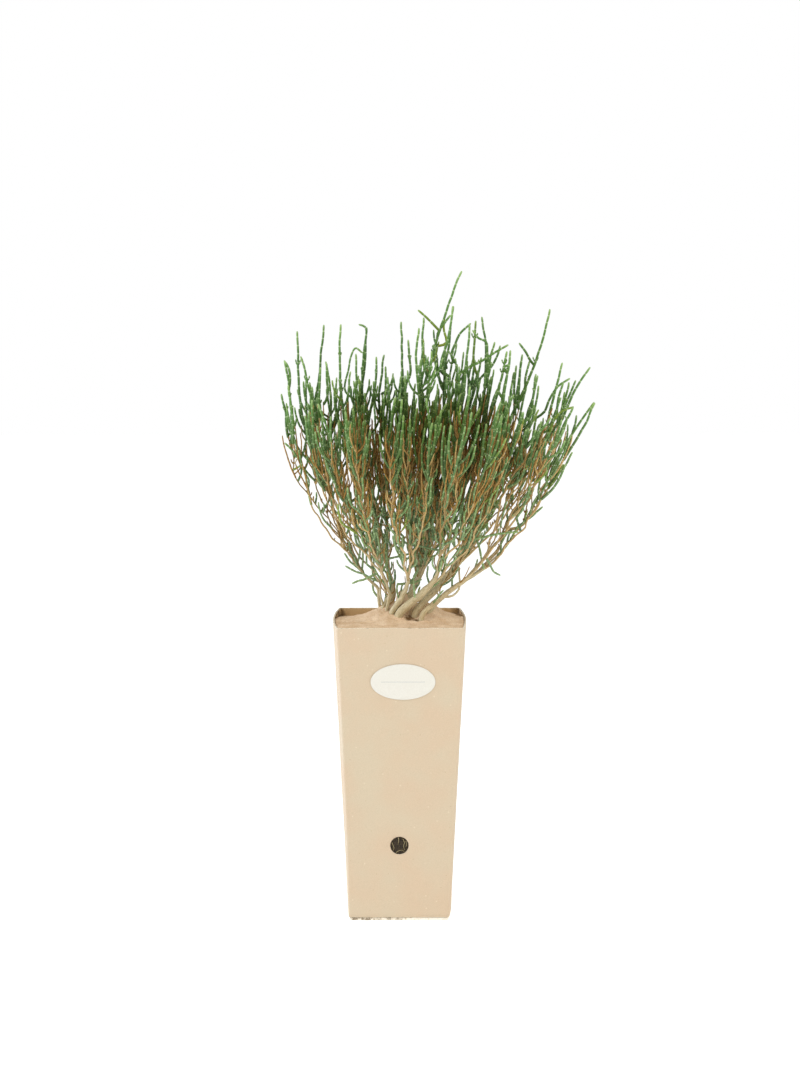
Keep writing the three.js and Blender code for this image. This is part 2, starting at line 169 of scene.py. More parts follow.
def coat(material, base, roughness, specular=0.5, relief=None):
    # the surface's colour and gloss, and its relief: a pattern, its strength and its depth in metres
    tree = material.node_tree
    shader = tree.nodes["Principled BSDF"]
    plug(tree, base, shader.inputs["Base Color"])
    shader.inputs["Roughness"].default_value = roughness
    shader.inputs["Specular IOR Level"].default_value = specular
    if relief:
        pattern, strength, depth = relief
        bump = addNode(tree, "Bump", Height=pattern, Strength=strength, Distance=depth)
        plug(tree, bump, shader.inputs["Normal"])
    return material


def patternMaterial(look):  # one fine pattern gives the colour, and the relief if there is any
    material, tree = newMaterial(look["name"])
    place = addNode(tree, "TexCoord").outputs["Object"]
    pattern = addNode(tree, look["pattern"], Vector=place, Scale=look["scale"], Detail=look["detail"])
    base = addNode(tree, "ValToRGB", stops=look["stops"], i0=pattern)
    relief = (pattern, *look["relief"]) if "relief" in look else None
    return coat(material, base, look["roughness"], relief=relief)


# Recycled grey board: pulped, pressed and folded, so it is matt, warm beige and flecked.
boardLook = {
    "face": "#ccbca1", "warm": "#ceb89c", "inside": "#c9a97c", "insideWarm": "#c4a070", "cornerTone": "#5e4728",
    "frayed": "#b9a68a", "edge": "#efe3cb", "soiled": "#8a8069",
    "roughness": 0.86, "cloudSize": 40, "fibreSize": 0.9, "fleckBlur": 0.06, "corner": (0.051, 0.062),
}
# round flecks: colour, size, reach in a cell, strength and shift of the pattern
boardFlecks = [("#e4d8be", 11, 0.1, 0.35, (0, 0, 0)), ("#a38d6c", 8.8, 0.08, 0.55, (0.31, 0.17, 0.05))]


def boardMaterial(name, faceCode, warmCode, darkerCorners=False):
    look = boardLook
    material, tree = newMaterial(name)
    place = addNode(tree, "TexCoord").outputs["Object"]
    clouds = addNode(tree, "TexNoise", Vector=place, Scale=1000 / look["cloudSize"], Detail=3.0)
    base = addNode(tree, "ValToRGB", stops=[(0.35, faceCode), (0.65, warmCode)], i0=clouds)
    fibres = addNode(tree, "TexNoise", Vector=place, Scale=1000 / look["fibreSize"], Detail=4.0,
                     Roughness=0.7)
    tone = addNode(tree, "ValToRGB", stops=[(0.25, "#dcdcdc"), (0.75, "#ffffff")], i0=fibres)
    base = addNode(tree, "Mix", multiply, i0=0.55, i6=base, i7=tone)
    for code, size, reach, strength, shift in boardFlecks:
        shifted = addNode(tree, "Mapping", Vector=place, Location=shift)
        cells = addNode(tree, "TexVoronoi", Vector=shifted, Scale=1000 / size)
        spot = addNode(tree, "MapRange", i0=cells, i1=reach, i2=reach - look["fleckBlur"], i4=strength)
        base = addNode(tree, "Mix", blend, i0=spot, i6=base, i7=code)
    if darkerCorners:  # the board is darker in broken patches towards the pot's left and right sides inside
        across = addNode(tree, "SeparateXYZ", Vector=place)
        aside = addNode(tree, "Math", {"operation": "ABSOLUTE"}, i0=across)
        corner = addNode(tree, "MapRange", i0=aside, i1=look["corner"][0], i2=look["corner"][1])
        blots = addNode(tree, "TexNoise", Vector=place, Scale=130.0, Detail=4.0)
        broken = addNode(tree, "MapRange", i0=blots, i1=0.4, i2=0.56, i4=0.85)
        share = addNode(tree, "Math", {"operation": "MULTIPLY"}, i0=corner, i1=broken)
        base = addNode(tree, "Mix", blend, i0=share, i6=base, i7=look["cornerTone"])
    return coat(material, base, look["roughness"], 0.25, (fibres, 0.35, 0.00025))


def edgeMaterial():  # the cut edge shows the board's paler, torn fibres in thin plies, and soil rubbed in
    look = boardLook
    material, tree = newMaterial("recycledBoardCutEdge")
    place = addNode(tree, "TexCoord").outputs["Object"]
    plies = addNode(tree, "TexNoise", Vector=place, Scale=1400.0, Detail=3.0)
    base = addNode(tree, "ValToRGB", stops=[(0.3, look["frayed"]), (0.7, look["edge"])], i0=plies)
    rubbed = addNode(tree, "TexNoise", Vector=place, Scale=240.0, Detail=4.0)
    share = addNode(tree, "MapRange", i0=rubbed, i1=0.54, i2=0.66, i4=0.75)
    base = addNode(tree, "Mix", blend, i0=share, i6=base, i7=look["soiled"])
    return coat(material, base, 0.95, relief=(plies, 0.5, 0.0003))


# the pot's shape

pot = {
    "height": 305, "rimWidth": 128, "rimDepth": 127.7, "footWidth": 100.3, "footDepth": 100.1,
    "wall": 1.8, "foldRadius": 2.5, "leftBow": 4.8, "rightBow": 3.7, "footLeft": 2.6,
    "boardThickness": 3, "boardInset": 1, "gap": 0.3,
}
drain = {"radius": 9.35, "across": -0.9, "height": 79.5}
rimStart = pot["boardThickness"]
panelLean = (pot["rimDepth"] - pot["footDepth"]) / 2 / (pot["height"] - rimStart)


def rise(z):
    return (z - rimStart) / (pot["height"] - rimStart)


def widthAt(z):
    return mix(pot["footWidth"], pot["rimWidth"], rise(z))


def depthAt(z):
    return mix(pot["footDepth"], pot["rimDepth"], rise(z))


def sectionPoints(width, depth, inset, panelSteps, foldSteps):
    # round the pot from the front left fold: front, right, back, left
    x, y, r = width / 2 - inset, depth / 2 - inset, max(pot["foldRadius"] - inset, 0.6)
    left = pot["leftBow"] * width / pot["rimWidth"]
    right = pot["rightBow"] * width / pot["rimWidth"]
    # the left panel flattens towards the foot
    flat = pot["footLeft"] * min(1, (pot["rimWidth"] - width) / (pot["rimWidth"] - pot["footWidth"])) ** 4
    fold = -x - flat

    def curve(start, control, end, steps):
        t = np.linspace(0, 1, steps, endpoint=False)[:, None]
        start, control, end = np.array(start), np.array(control), np.array(end)
        return start * (1 - t) ** 2 + 2 * control * t * (1 - t) + end * t * t

    return np.concatenate([
        curve((fold + r, -y), (0, -y), (x - r, -y), panelSteps),
        curve((x - r, -y), (x, -y), (x, -y + r), foldSteps),
        curve((x, -y + r), (x + 2 * right, 0), (x, y - r), panelSteps),
        curve((x, y - r), (x, y), (x - r, y), foldSteps),
        curve((x - r, y), (0, y), (fold + r, y), panelSteps),
        curve((fold + r, y), (fold, y), (fold, y - r), foldSteps),
        curve((fold, y - r), (-x - 2 * left + flat, 0), (fold, -y + r), panelSteps),
        curve((fold, -y + r), (fold, -y), (fold + r, -y), foldSteps),
    ])


sleeveLook = {"panelSteps": 34, "foldSteps": 7, "levels": 70, "edgeRound": 0.45, "waviness": 0.22,
              "waveSize": (45, 60), "footFade": 25, "drainClear": 11, "drainFade": 8,
              "fray": 0.18, "fraySize": 7}


def makeSleeve():
    look = sleeveLook
    low, high, wall, edge = rimStart + pot["gap"], pot["height"], pot["wall"], look["edgeRound"]
    # up the outside, over the rim, down the inside and under the foot
    rim = [(edge * 0.35, high - edge * 0.3), (edge, high)]
    stops = [(0.0, z) for z in np.linspace(low + edge, high - edge, look["levels"])]
    stops += rim + [(wall - inset, z) for inset, z in reversed(rim)]
    stops += [(wall, z) for z in np.linspace(high - edge, low + edge, look["levels"])]
    stops += [(wall - edge, low), (edge, low)]
    (wide, tall), fray = look["waveSize"], look["fraySize"]
    points = []
    for inset, z in stops:
        ring = sectionPoints(widthAt(z), depthAt(z), inset, look["panelSteps"], look["foldSteps"])
        nearDrain = smooth((abs(z - drain["height"]) - look["drainClear"]) / look["drainFade"])
        fade = smooth((z - low) / look["footFade"]) * nearDrain
        for x, y in ring:
            out = look["waviness"] * fade * grain(x / wide, y / wide, z / tall)
            size = math.hypot(x, y)
            lift = look["fray"] * grain(x / fray, y / fray, 3.1) if z > high - 1 else 0
            points.append((x * (1 + out / size), y * (1 + out / size), z + lift))
    panel = look["levels"] - 1
    kinds = np.repeat([0] * panel + [1] * 5 + [2] * panel + [1] * 3, len(ring)).tolist()
    skins = [boardMaterial("recycledBoardFolded", boardLook["face"], boardLook["warm"]), edgeMaterial(),
             boardMaterial("recycledBoardInside", boardLook["inside"], boardLook["insideWarm"], True)]
    sleeve = makeMesh("potSleeve", points, bands(len(stops), len(ring), closed=True), skins, kinds)
    cutDrain(sleeve)
    dress(sleeve, "pot_board", "pot_sleeve")


def cutDrain(sleeve):
    bm = bmesh.new()
    spin = bmesh.ops.create_cone(bm, cap_ends=True, segments=72, radius1=drain["radius"] * metre,
                                 radius2=drain["radius"] * metre, depth=0.02)
    bmesh.ops.rotate(bm, verts=spin["verts"], cent=(0, 0, 0),
                     matrix=Matrix.Rotation(math.radians(90), 3, "X"))
    face = -depthAt(drain["height"]) / 2
    bmesh.ops.translate(bm, verts=spin["verts"],
                        vec=(drain["across"] * metre, face * metre, drain["height"] * metre))
    mesh = bpy.data.meshes.new("drainCutter")
    bm.to_mesh(mesh)
    bm.free()
    mesh.materials.append(sleeve.data.materials[1])
    cutter = bpy.data.objects.new("drainCutter", mesh)
    bpy.context.scene.collection.objects.link(cutter)
    cut = sleeve.modifiers.new("drain", "BOOLEAN")
    cut.operation, cut.solver, cut.object = "DIFFERENCE", "EXACT", cutter
    cut.material_mode = "TRANSFER"
    bpy.context.view_layer.objects.active = sleeve
    bpy.ops.object.modifier_apply(modifier=cut.name)
    bpy.data.objects.remove(cutter)


# how the bush grows: the same stems, leaders and flow as the solids

bush = {
    "sandDepth": 22, "footSpread": 22, "growth": 165, "growthHeight": 135, "growthPower": 1.15,
    "depthRatio": 0.92, "footAcross": 9, "lean": 24, "leanHeight": 60, "upperLean": 0.1,
    "upperLeanFrom": 120, "settle": 46, "trunkHeight": 82, "trunkSteps": 6, "trunkTaper": 0.45,
    "twigCount": 58, "twigSpacing": 0.21, "twigReach": 0.95, "twigTop": 184, "twigTopDraw": 20,
    "rimFall": 25, "clearance": 2.6, "underTip": 12, "leastTop": 20, "leaderDepth": 0.9,
    "confineRounds": 3, "shortest": 12, "slowStart": 0.2, "swing": 3, "widening": 0.7,
}
# a pair under length, out or root is the least value and the most that a draw adds to it
twigHabit = {"steps": 6, "radii": (1.2, 0.65), "sway": 5, "inner": 70, "low": (20, 14), "turnHeight": 60,
             "outerFrom": 0.4, "underTrunkTop": 2, "trunkShare": 0.8}
topHabit = {"steps": 4, "radii": (1.5, 1.1), "root": 0.95, "length": (32, 34), "spread": 16, "bend": 3}
sideHabit = {"steps": 4, "radii": (1.45, 1.1), "root": 0.95, "apart": 0.1, "rootDraw": 0.06,
             "length": (34, 42), "out": (6, 9)}
lateralHabit = {"steps": 3, "radii": (1.3, 1.1), "root": (0.25, 0.4), "length": (22, 26), "out": (9, 9),
                "climb": 0.85}
spikeHabit = {"steps": 2, "radii": (1.0, 0.7), "root": (0.6, 0.25), "length": (30, 24), "out": (5, 6)}
mound = {"height": 17, "across": 8, "depth": 12, "halfWidth": 42, "halfDepth": 24,
         "frontDrop": 1.5, "backDrop": 7}

# foot (across, depth), crown as a share of the half-width (across, depth), radius at the sand
stems = [
    {"foot": (0.5, -14), "crown": (0.22, -0.62), "radius": 4.3},
    {"foot": (17, -12), "crown": (0.5, -0.14), "radius": 3.5},
    {"foot": (22, -21.5), "crown": (0.74, -0.52), "radius": 2.6},
    {"foot": (31, -5), "crown": (0.95, 0.06), "radius": 2.8},
    {"foot": (-9, -9), "crown": (-0.2, -0.58), "radius": 3},
    {"foot": (-13.5, -2.5), "crown": (-0.6, -0.5), "radius": 1.8},
    {"foot": (-17, 4), "crown": (-0.5, 0.02), "radius": 1.8},
    {"foot": (-20, 11.5), "crown": (-0.95, 0.04), "radius": 1.7},
    {"foot": (5, 1), "crown": (0.02, 0.02), "radius": 3.2},
    {"foot": (-8, 14), "crown": (-0.55, 0.6), "radius": 2.8},
    {"foot": (8, 17), "crown": (0.02, 0.64), "radius": 3},
    {"foot": (23, 9), "crown": (0.6, 0.55), "radius": 3},
]

# the tallest shoots: tip (across, depth, up), and where the green starts (across, up)
leaders = [
    ((-121, 10, 534), (-116, 495)), ((-115, -30, 570), (-111, 497)), ((-105, 25, 597), (-98, 497)),
    ((-100, -10, 573), (-85, 502)), ((-78, 40, 603), (-92, 525)), ((-77, 70, 564), (-73, 492)),
    ((-59, -40, 606), (-55, 520)), ((-46, 90, 571), (-45, 500)), ((-34, 20, 601), (-36, 518)),
    ((-16, 50, 572), (-23, 520)), ((1, -20, 608), (2, 508)), ((18, -60, 603), (24, 525)),
    ((62, 0, 658), (29, 560)), ((55, 40, 622), (46, 535)), ((70, -50, 607), (57, 525)),
    ((83, 10, 612), (85, 525)), ((113, 30, 582), (74, 545)), ((106, -60, 581), (98, 515)),
    ((151, 0, 620), (118, 525)), ((141, 50, 552), (131, 505)), ((163, -20, 567), (152, 512)),
    ((181, 40, 546), (160, 500)), ((191, -10, 562), (165, 512)), ((172, -50, 525), (158, 495)),
    ((199, 20, 524), (170, 475)), ((173, -30, 478), (157, 450)),
]


def sandLevel(x, y):  # over the rim
    heap = math.exp(-abs((x - mound["across"]) / mound["halfWidth"]) ** 3
                    - ((y - mound["depth"]) / mound["halfDepth"]) ** 2)
    back = clamp((y + 10) / 70, 0, 1) ** 1.5
    return mound["height"] * heap - mound["frontDrop"] - mound["backDrop"] * back


def spreadAt(height):
    grown = (max(height, 0) / bush["growthHeight"]) ** bush["growthPower"]
    return bush["footSpread"] + bush["growth"] * (1 - math.exp(-grown))


def middleAt(height):
    low = bush["lean"] * (1 - math.exp(-max(height, 0) / bush["leanHeight"]))
    return bush["footAcross"] + low + bush["upperLean"] * max(0, height - bush["upperLeanFrom"])


def flow(u, v, height):
    spread = spreadAt(height)
    return middleAt(height) + spread * u, bush["depthRatio"] * spread * v


def stemAt(stem, height):
    start = sandLevel(*stem["foot"]) + 1
    t = easeOut((height - start) / bush["settle"])
    crown = flow(*stem["crown"], height)
    return mix(stem["foot"][0], crown[0], t), mix(stem["foot"][1], crown[1], t)


def confine(stem, x, y, height, margin):  # keeps a point on its own stem's side of each midplane
    middles = [stemAt(other, height) for other in stems]
    ownX, ownY = middles[stems.index(stem)]
    for _ in range(bush["confineRounds"]):
        for other, (otherX, otherY) in zip(stems, middles):
            if other is stem:
                continue
            distance = math.hypot(otherX - ownX, otherY - ownY)
            nx, ny = (otherX - ownX) / distance, (otherY - ownY) / distance
            over = max((x - ownX) * nx + (y - ownY) * ny - distance / 2 + margin, 0)
            x, y = x - over * nx, y - over * ny
    return np.array((x, y, pot["height"] + height))


def owner(x, y, height):
    return min(stems, key=lambda stem: math.dist((x, y), stemAt(stem, height)))


def stride(k, steps):  # even steps, and a short last one to the tip
    return 1 if k == steps else 0.95 * k / (steps - 1)


def along(path, t):
    place = clamp(t, 0, 1) * (len(path) - 1)
    k = min(int(place), len(path) - 2)
    return mix(path[k], path[k + 1], place - k)


def twigTargets():
    targets = []
    for tip, start in leaders:
        height = start[1] - pot["height"]
        spread = spreadAt(height)
        targets.append({"u": (start[0] - middleAt(height)) / spread,
                        "v": tip[1] * bush["leaderDepth"] / (bush["depthRatio"] * spread),
                        "top": height, "tip": tip})
    n = 0
    while len(targets) < bush["twigCount"]:  # an even scatter over the crown
        n += 1
        radius = math.sqrt((0.5 + n * 0.7548776662) % 1) * bush["twigReach"]
        angle = 2 * math.pi * ((0.5 + n * 0.5698402910) % 1)
        u, v = radius * math.cos(angle), radius * math.sin(angle)
        if any(math.hypot(other["u"] - u, other["v"] - v) < bush["twigSpacing"] for other in targets):
            continue
        draw = draws(n)
        top = bush["twigTop"] - bush["rimFall"] * radius ** 3 + bush["twigTopDraw"] * draw()
        targets.append({"u": u, "v": v, "top": top, "tip": None})
    return targets


def trunkRadius(stem, height):
    return stem["radius"] * mix(1, bush["trunkTaper"], clamp(height / bush["trunkHeight"], 0, 1))


def trunkPath(stem):
    start = sandLevel(*stem["foot"]) + 1
    steps = bush["trunkSteps"]
    heights = [-bush["sandDepth"], start]
    heights += [mix(start, bush["trunkHeight"], k / steps) for k in range(1, steps + 1)]
    return [confine(stem, *stemAt(stem, height), height, trunkRadius(stem, height) + 2 * pot["gap"])
            for height in heights]


def trunkPoint(trunk, height):
    z = pot["height"] + height
    k = 0
    while k < len(trunk) - 2 and trunk[k + 1][2] < z:
        k += 1
    t = clamp((z - trunk[k][2]) / (trunk[k + 1][2] - trunk[k][2]), 0, 1)
    return mix(trunk[k], trunk[k + 1], t)


def twigPath(stem, root, target, fork, draw, margin):
    path = [root]
    for k in range(1, twigHabit["steps"] + 1):
        height = mix(fork, target["top"], k / twigHabit["steps"])
        sx, sy = stemAt(stem, height)
        fx, fy = flow(target["u"], target["v"], height)
        t = smooth((height - fork) / twigHabit["turnHeight"])
        sway = twigHabit["sway"] if k < twigHabit["steps"] else 0
        x = mix(sx, fx, t) + sway * (draw() - 0.5)
        y = mix(sy, fy, t) + sway * (draw() - 0.5)
        path.append(confine(stem, x, y, height, margin))
    return path


def topPath(stem, foot, target, draw):
    tip, low = target["tip"], foot[2] - pot["height"]
    high = tip[2] - pot["height"] if tip else target["top"] + drawn(topHabit["length"], draw)
    fx, fy = flow(target["u"], target["v"], high)
    if not tip:
        high = min(high, max(crownTop(fx) + fineGrowth["topDraw"], low + bush["leastTop"]))
    x1 = tip[0] if tip else fx + topHabit["spread"] * (draw() - 0.5)
    y1 = tip[1] if tip else fy + topHabit["spread"] * (draw() - 0.5)
    path = [foot]
    for k in range(1, topHabit["steps"] + 1):
        t = stride(k, topHabit["steps"])
        bow = topHabit["bend"] * math.sin(math.pi * t) * (draw() - 0.5)
        path.append(confine(stem, mix(foot[0], x1, t) + bow, mix(foot[1], y1, t) + bow, mix(low, high, t),
                            bush["clearance"]))
    return path


def shootPath(stem, root, habit, draw, limit, margin):
    length = max(bush["shortest"], min(drawn(habit["length"], draw), limit - root[2]))
    side = habit["side"] if "side" in habit else 2 * math.pi * draw()
    out = drawn(habit["out"], draw)
    foot = root[2] - pot["height"]
    u0, v0 = flow(0, 0, foot)
    path = [root]
    for k in range(1, habit["steps"] + 1):
        t = stride(k, habit["steps"])
        slow = 1 - bush["slowStart"] + bush["slowStart"] * t
        height = foot + habit.get("climb", 1) * length * t * slow
        swing = out * (1 - math.exp(-bush["swing"] * t)) + habit.get("lean", 0) * length * t
        u1, v1 = flow(0, 0, height)
        widen = mix(1, spreadAt(height) / spreadAt(foot), bush["widening"])
        x = u1 + (root[0] - u0) * widen + swing * math.cos(side)
        y = v1 + (root[1] - v0) * widen + swing * math.sin(side)
        if margin < bush["clearance"]:
            x, y = heldIn(x, y, height)
        path.append(confine(stem, x, y, height, margin))
    return path


def sprout(kind, stem, root, habit, draw, limit=math.inf, margin=bush["clearance"]):
    return {"kind": kind, "path": shootPath(stem, root, habit, draw, limit, margin), "radii": habit["radii"]}


def crownShare(x, y, height):  # 0 at the bush's middle, 1 at its outline
    spread = spreadAt(height)
    return math.hypot((x - middleAt(height)) / spread, y / (bush["depthRatio"] * spread))


def crownTop(x):  # how high the dense growth stands: highest right of the middle, low at both ends
    return float(np.interp(x, *zip(*crownTops)))


def crownLimit(x, draw):  # how high a fine shoot may reach there
    return pot["height"] + crownTop(x) + fineGrowth["topDraw"] * draw()


def thinning(x, height):  # the bush is thin at its left and right ends
    look = fineGrowth
    across = (x - middleAt(height)) / spreadAt(height)
    half = mix(*look["denseHalf"], smooth((height - look["denseFrom"]) / look["denseRise"]))
    return clamp((abs(across - look["denseMiddle"]) - half) / look["denseFade"], 0, 1)


def heldIn(x, y, height):  # fine growth stays inside the bush's outline
    over = max(crownShare(x, y, height) / fineGrowth["outline"], 1)
    return mix(middleAt(height), x, 1 / over), y / over


def wander(path, seed, amount, size):  # more points, with the small wanders of a grown axis
    length = pathLength(path)
    marks = np.linspace(0, length, max(4, round(length / fineGrowth["pointGap"])) + 1)
    points = curveAlong(path, marks)
    for point, mark in zip(points, marks):
        fade = smooth(mark / fineGrowth["wanderFrom"])
        for axis, key in ((0, 0.5), (1, 7.5)):
            sway = amount * grain(mark / size, seed * 0.37, key, 2)
            knot = fineGrowth["knots"] * grain(mark / fineGrowth["knotSize"], seed * 0.53, key + 3, 1)
            point[axis] += fade * (sway + knot)
    return list(points)


def growStem(stem, stemIndex, targets):  # the axes that the solid has too
    trunk = wander(trunkPath(stem), stemIndex, *fineGrowth["trunkWander"])
    end = max(fineGrowth["trunkEnd"] * stem["radius"], fineGrowth["leastTrunk"])
    axes = [{"kind": "trunk", "path": trunk, "radii": (stem["radius"], end)}]
    own = [t for t in targets if owner(*flow(t["u"], t["v"], t["top"]), t["top"]) is stem]

    def away(target):
        return math.hypot(target["u"] - stem["crown"][0], target["v"] - stem["crown"][1])

    own.sort(key=away)
    twigs = []
    for twigIndex, target in enumerate(own):
        draw = draws(1000 * (stemIndex + 1) + 10 * twigIndex)
        outer = clamp(away(target) / twigHabit["outerFrom"], 0, 1)
        fork = mix(twigHabit["inner"], drawn(twigHabit["low"], draw), outer)
        if twigIndex == 0:
            fork = bush["trunkHeight"] - twigHabit["underTrunkTop"]
        path = twigPath(stem, trunkPoint(trunk, fork), target, fork, draw, bush["clearance"])
        path = wander(path, 20 * stemIndex + twigIndex, *fineGrowth["twigWander"])
        top = topPath(stem, along(path, topHabit["root"]), target, draw)
        limit = top[-1][2] - bush["underTip"]
        thick = min(twigHabit["radii"][0], trunkRadius(stem, fork) * twigHabit["trunkShare"])
        twigs.append({"path": path, "target": target, "top": top, "limit": limit})
        axes.append({"kind": "twig", "path": path, "radii": (thick, twigHabit["radii"][1])})
        axes.append({"kind": "shoot", "path": top, "radii": topHabit["radii"]})
        for k in range(1 + twigIndex % 2):
            root = along(path, sideHabit["root"] - sideHabit["apart"] * k - sideHabit["rootDraw"] * draw())
            axes.append(sprout("shoot", stem, root, sideHabit, draw, limit))
        low = along(path, drawn(lateralHabit["root"], draw))
        axes.append(sprout("lateral", stem, low, lateralHabit, draw))
        if twigIndex % 3 < 2:
            dry = along(path, drawn(spikeHabit["root"], draw))
            axes.append(sprout("spike", stem, dry, spikeHabit, draw))
    return axes, twigs


# the finer growth that the solids leave out
crownTops = [(-120, 190), (-92, 203), (-65, 240), (-20, 232), (10, 245), (40, 285), (70, 268), (88, 238),
             (104, 208), (132, 193), (165, 178)]
fineGrowth = {
    "margin": 0.8, "outline": 1.0, "lean": 0.22, "leastShoot": 16, "topDraw": 22, "edgeSkip": 0.5,
    "denseMiddle": -0.1, "denseHalf": (0.58, 0.82), "denseFrom": 110, "denseRise": 50, "denseFade": 0.15,
    "pointGap": 5, "wanderFrom": 12, "knots": 1.8, "knotSize": 9, "trunkWander": (1.6, 26),
    "twigWander": (4.5, 30), "trunkEnd": 0.3, "leastTrunk": 0.8, "bowLength": 45, "turnSize": 16,
    "sideDraw": 0.8, "gapDraw": (0.65, 0.7), "skipHeight": 90, "skipStart": 0.6,
}
# climbs: how far it rises for its length. skip: the share left out low down, and its change higher up
fineShoot = {"steps": 4, "radii": (1.25, 0.95), "length": (24, 44), "out": (3, 11), "root": 0.96,
             "apart": 0.12, "rootDraw": 0.06}
leaderShoot = {"steps": 4, "radii": (1.2, 0.95), "length": (26, 40), "out": (4, 12), "count": 8,
               "root": 0.4, "rise": (0.35, 0.65), "reach": 58, "edgeSkip": 0.8}
fineLateral = {"steps": 3, "radii": (1.15, 0.95), "length": (11, 24), "out": (3, 8), "climbs": (0.45, 0.55),
               "start": 12, "end": 0.8, "gap": 13.5, "skip": (0.42, -0.04)}
fineSpike = {"steps": 3, "radii": (0.8, 0.6), "length": (12, 22), "out": (2, 8), "start": 0.35, "end": 1,
             "gap": 7.5, "skip": (0.86, -0.5), "top": 198, "underCrown": 15}
trunkSprig = {"steps": 3, "radii": (1.15, 0.95), "length": (10, 26), "out": (4, 10), "climbs": (0.5, 0.5),
              "start": 8, "end": 1, "gap": 9, "skip": (0.45, 0), "deadShare": 0.4, "deadRadii": (0.7, 0.5)}
companion = {"radii": (0.8, 0.55), "spread": 0.16, "spreadDraw": (0.4, 0.6), "edgeSkip": 0.6, "rim": 0.9,
             "root": (0.06, 0.34), "top": 152, "rimFall": 25, "topDraw": 50, "underCrown": 35,
             "denseTop": 240, "wander": (4.5, 20), "shootRoot": 0.95}
companionShoot = {"steps": 4, "radii": (1.3, 1.0), "length": (24, 44), "out": (2, 6)}


def pairsAlong(twig, habit, start, draw):  # opposite pairs, each a quarter turn from the last
    look, length = fineGrowth, pathLength(twig)
    turn = 2 * math.pi * draw()
    place = start
    while place < habit["end"] * length:
        for half in range(2):
            side = turn + math.pi * half + look["sideDraw"] * (draw() - 0.5)
            root = along(twig, place / length)
            height = root[2] - pot["height"]
            grown = clamp(height / look["skipHeight"] - look["skipStart"], 0, 1)
            bare = habit["skip"][0] + habit["skip"][1] * grown
            if draw() > bare + look["edgeSkip"] * thinning(root[0], height):
                yield root, side
        turn += math.pi / 2
        place += habit["gap"] * drawn(look["gapDraw"], draw)


def branchOut(stem, twig, draw, limit, sideShoots):
    axes = []
    margin = fineGrowth["margin"]
    for k in range(sideShoots):
        root = along(twig, fineShoot["root"] - fineShoot["apart"] * k - fineShoot["rootDraw"] * draw())
        habit = dict(fineShoot, lean=fineGrowth["lean"] * draw())
        held = min(limit, crownLimit(root[0], draw))
        if held - root[2] >= fineGrowth["leastShoot"]:
            axes.append(sprout("shoot", stem, root, habit, draw, held, margin))
    for root, side in pairsAlong(twig, fineLateral, fineLateral["start"], draw):
        habit = dict(fineLateral, side=side, climb=drawn(fineLateral["climbs"], draw))
        axes.append(sprout("lateral", stem, root, habit, draw, limit, margin))
    for root, side in pairsAlong(twig, fineSpike, fineSpike["start"] * pathLength(twig), draw):
        top = min(fineSpike["top"], crownTop(root[0]) - fineSpike["underCrown"])
        if root[2] <= pot["height"] + top:
            axes.append(sprout("spike", stem, root, dict(fineSpike, side=side), draw, limit, margin))
    return axes


def addCompanion(stem, twig, draw, seed):  # a thinner twig that forks off low and grows beside its twig
    look, margin = companion, fineGrowth["margin"]
    end, target = twig["path"][-1], twig["target"]
    angle, reach = 2 * math.pi * draw(), look["spread"] * drawn(look["spreadDraw"], draw)
    u, v = target["u"] + reach * math.cos(angle), target["v"] + reach * math.sin(angle)
    if draw() < look["edgeSkip"] * thinning(end[0], target["top"]):
        return []
    size = max(math.hypot(u, v) / look["rim"], 1)
    u, v = u / size, v / size
    root = along(twig["path"], drawn(look["root"], draw))
    top = look["top"] - look["rimFall"] * math.hypot(u, v) ** 3 + look["topDraw"] * draw()
    place = {"u": u, "v": v, "top": min(top, crownTop(end[0]) - look["underCrown"])}
    path = twigPath(stem, root, place, root[2] - pot["height"], draw, margin)
    path = wander(path, seed, *look["wander"])
    limit = crownLimit(end[0], draw)
    shoot = sprout("shoot", stem, along(path, look["shootRoot"]), companionShoot, draw, limit, margin)
    return [{"kind": "twig", "path": path, "radii": look["radii"]}, shoot,
            *branchOut(stem, path, draw, twig["limit"], 1)]


def growFiner(stem, stemIndex, trunk, twigs):
    axes = []
    margin = fineGrowth["margin"]
    draw = draws(800000 + stemIndex)
    start = bush["sandDepth"] + trunkSprig["start"] * stem["radius"]
    for root, side in pairsAlong(trunk, trunkSprig, start, draw):
        dead = draw() < trunkSprig["deadShare"]
        habit = dict(trunkSprig, side=side, climb=drawn(trunkSprig["climbs"], draw),
                     radii=trunkSprig["deadRadii" if dead else "radii"])
        axes.append(sprout("spike" if dead else "lateral", stem, root, habit, draw, math.inf, margin))
    for twigIndex, twig in enumerate(twigs):
        draw = draws(500000 + 1000 * (stemIndex + 1) + 10 * twigIndex)
        axes += branchOut(stem, twig["path"], draw, twig["limit"], 2)
        low = twig["top"][0][2]
        for _ in range(leaderShoot["count"] if twig["target"]["tip"] else 1):
            root = along(twig["top"], leaderShoot["root"] * draw())
            high = mix(low, twig["limit"], drawn(leaderShoot["rise"], draw))
            limit = min(high, low + leaderShoot["reach"], crownLimit(root[0], draw))
            habit = dict(leaderShoot, lean=fineGrowth["lean"] * draw())
            bare = leaderShoot["edgeSkip"] * thinning(root[0], root[2] - pot["height"])
            if limit - root[2] >= fineGrowth["leastShoot"] and draw() >= bare:
                axes.append(sprout("shoot", stem, root, habit, draw, limit, margin))
        for n in range(2 if crownTop(twig["path"][-1][0]) > companion["denseTop"] else 1):
            axes += addCompanion(stem, twig, draw, 2000 + 100 * stemIndex + 10 * twigIndex + n)
    return axes


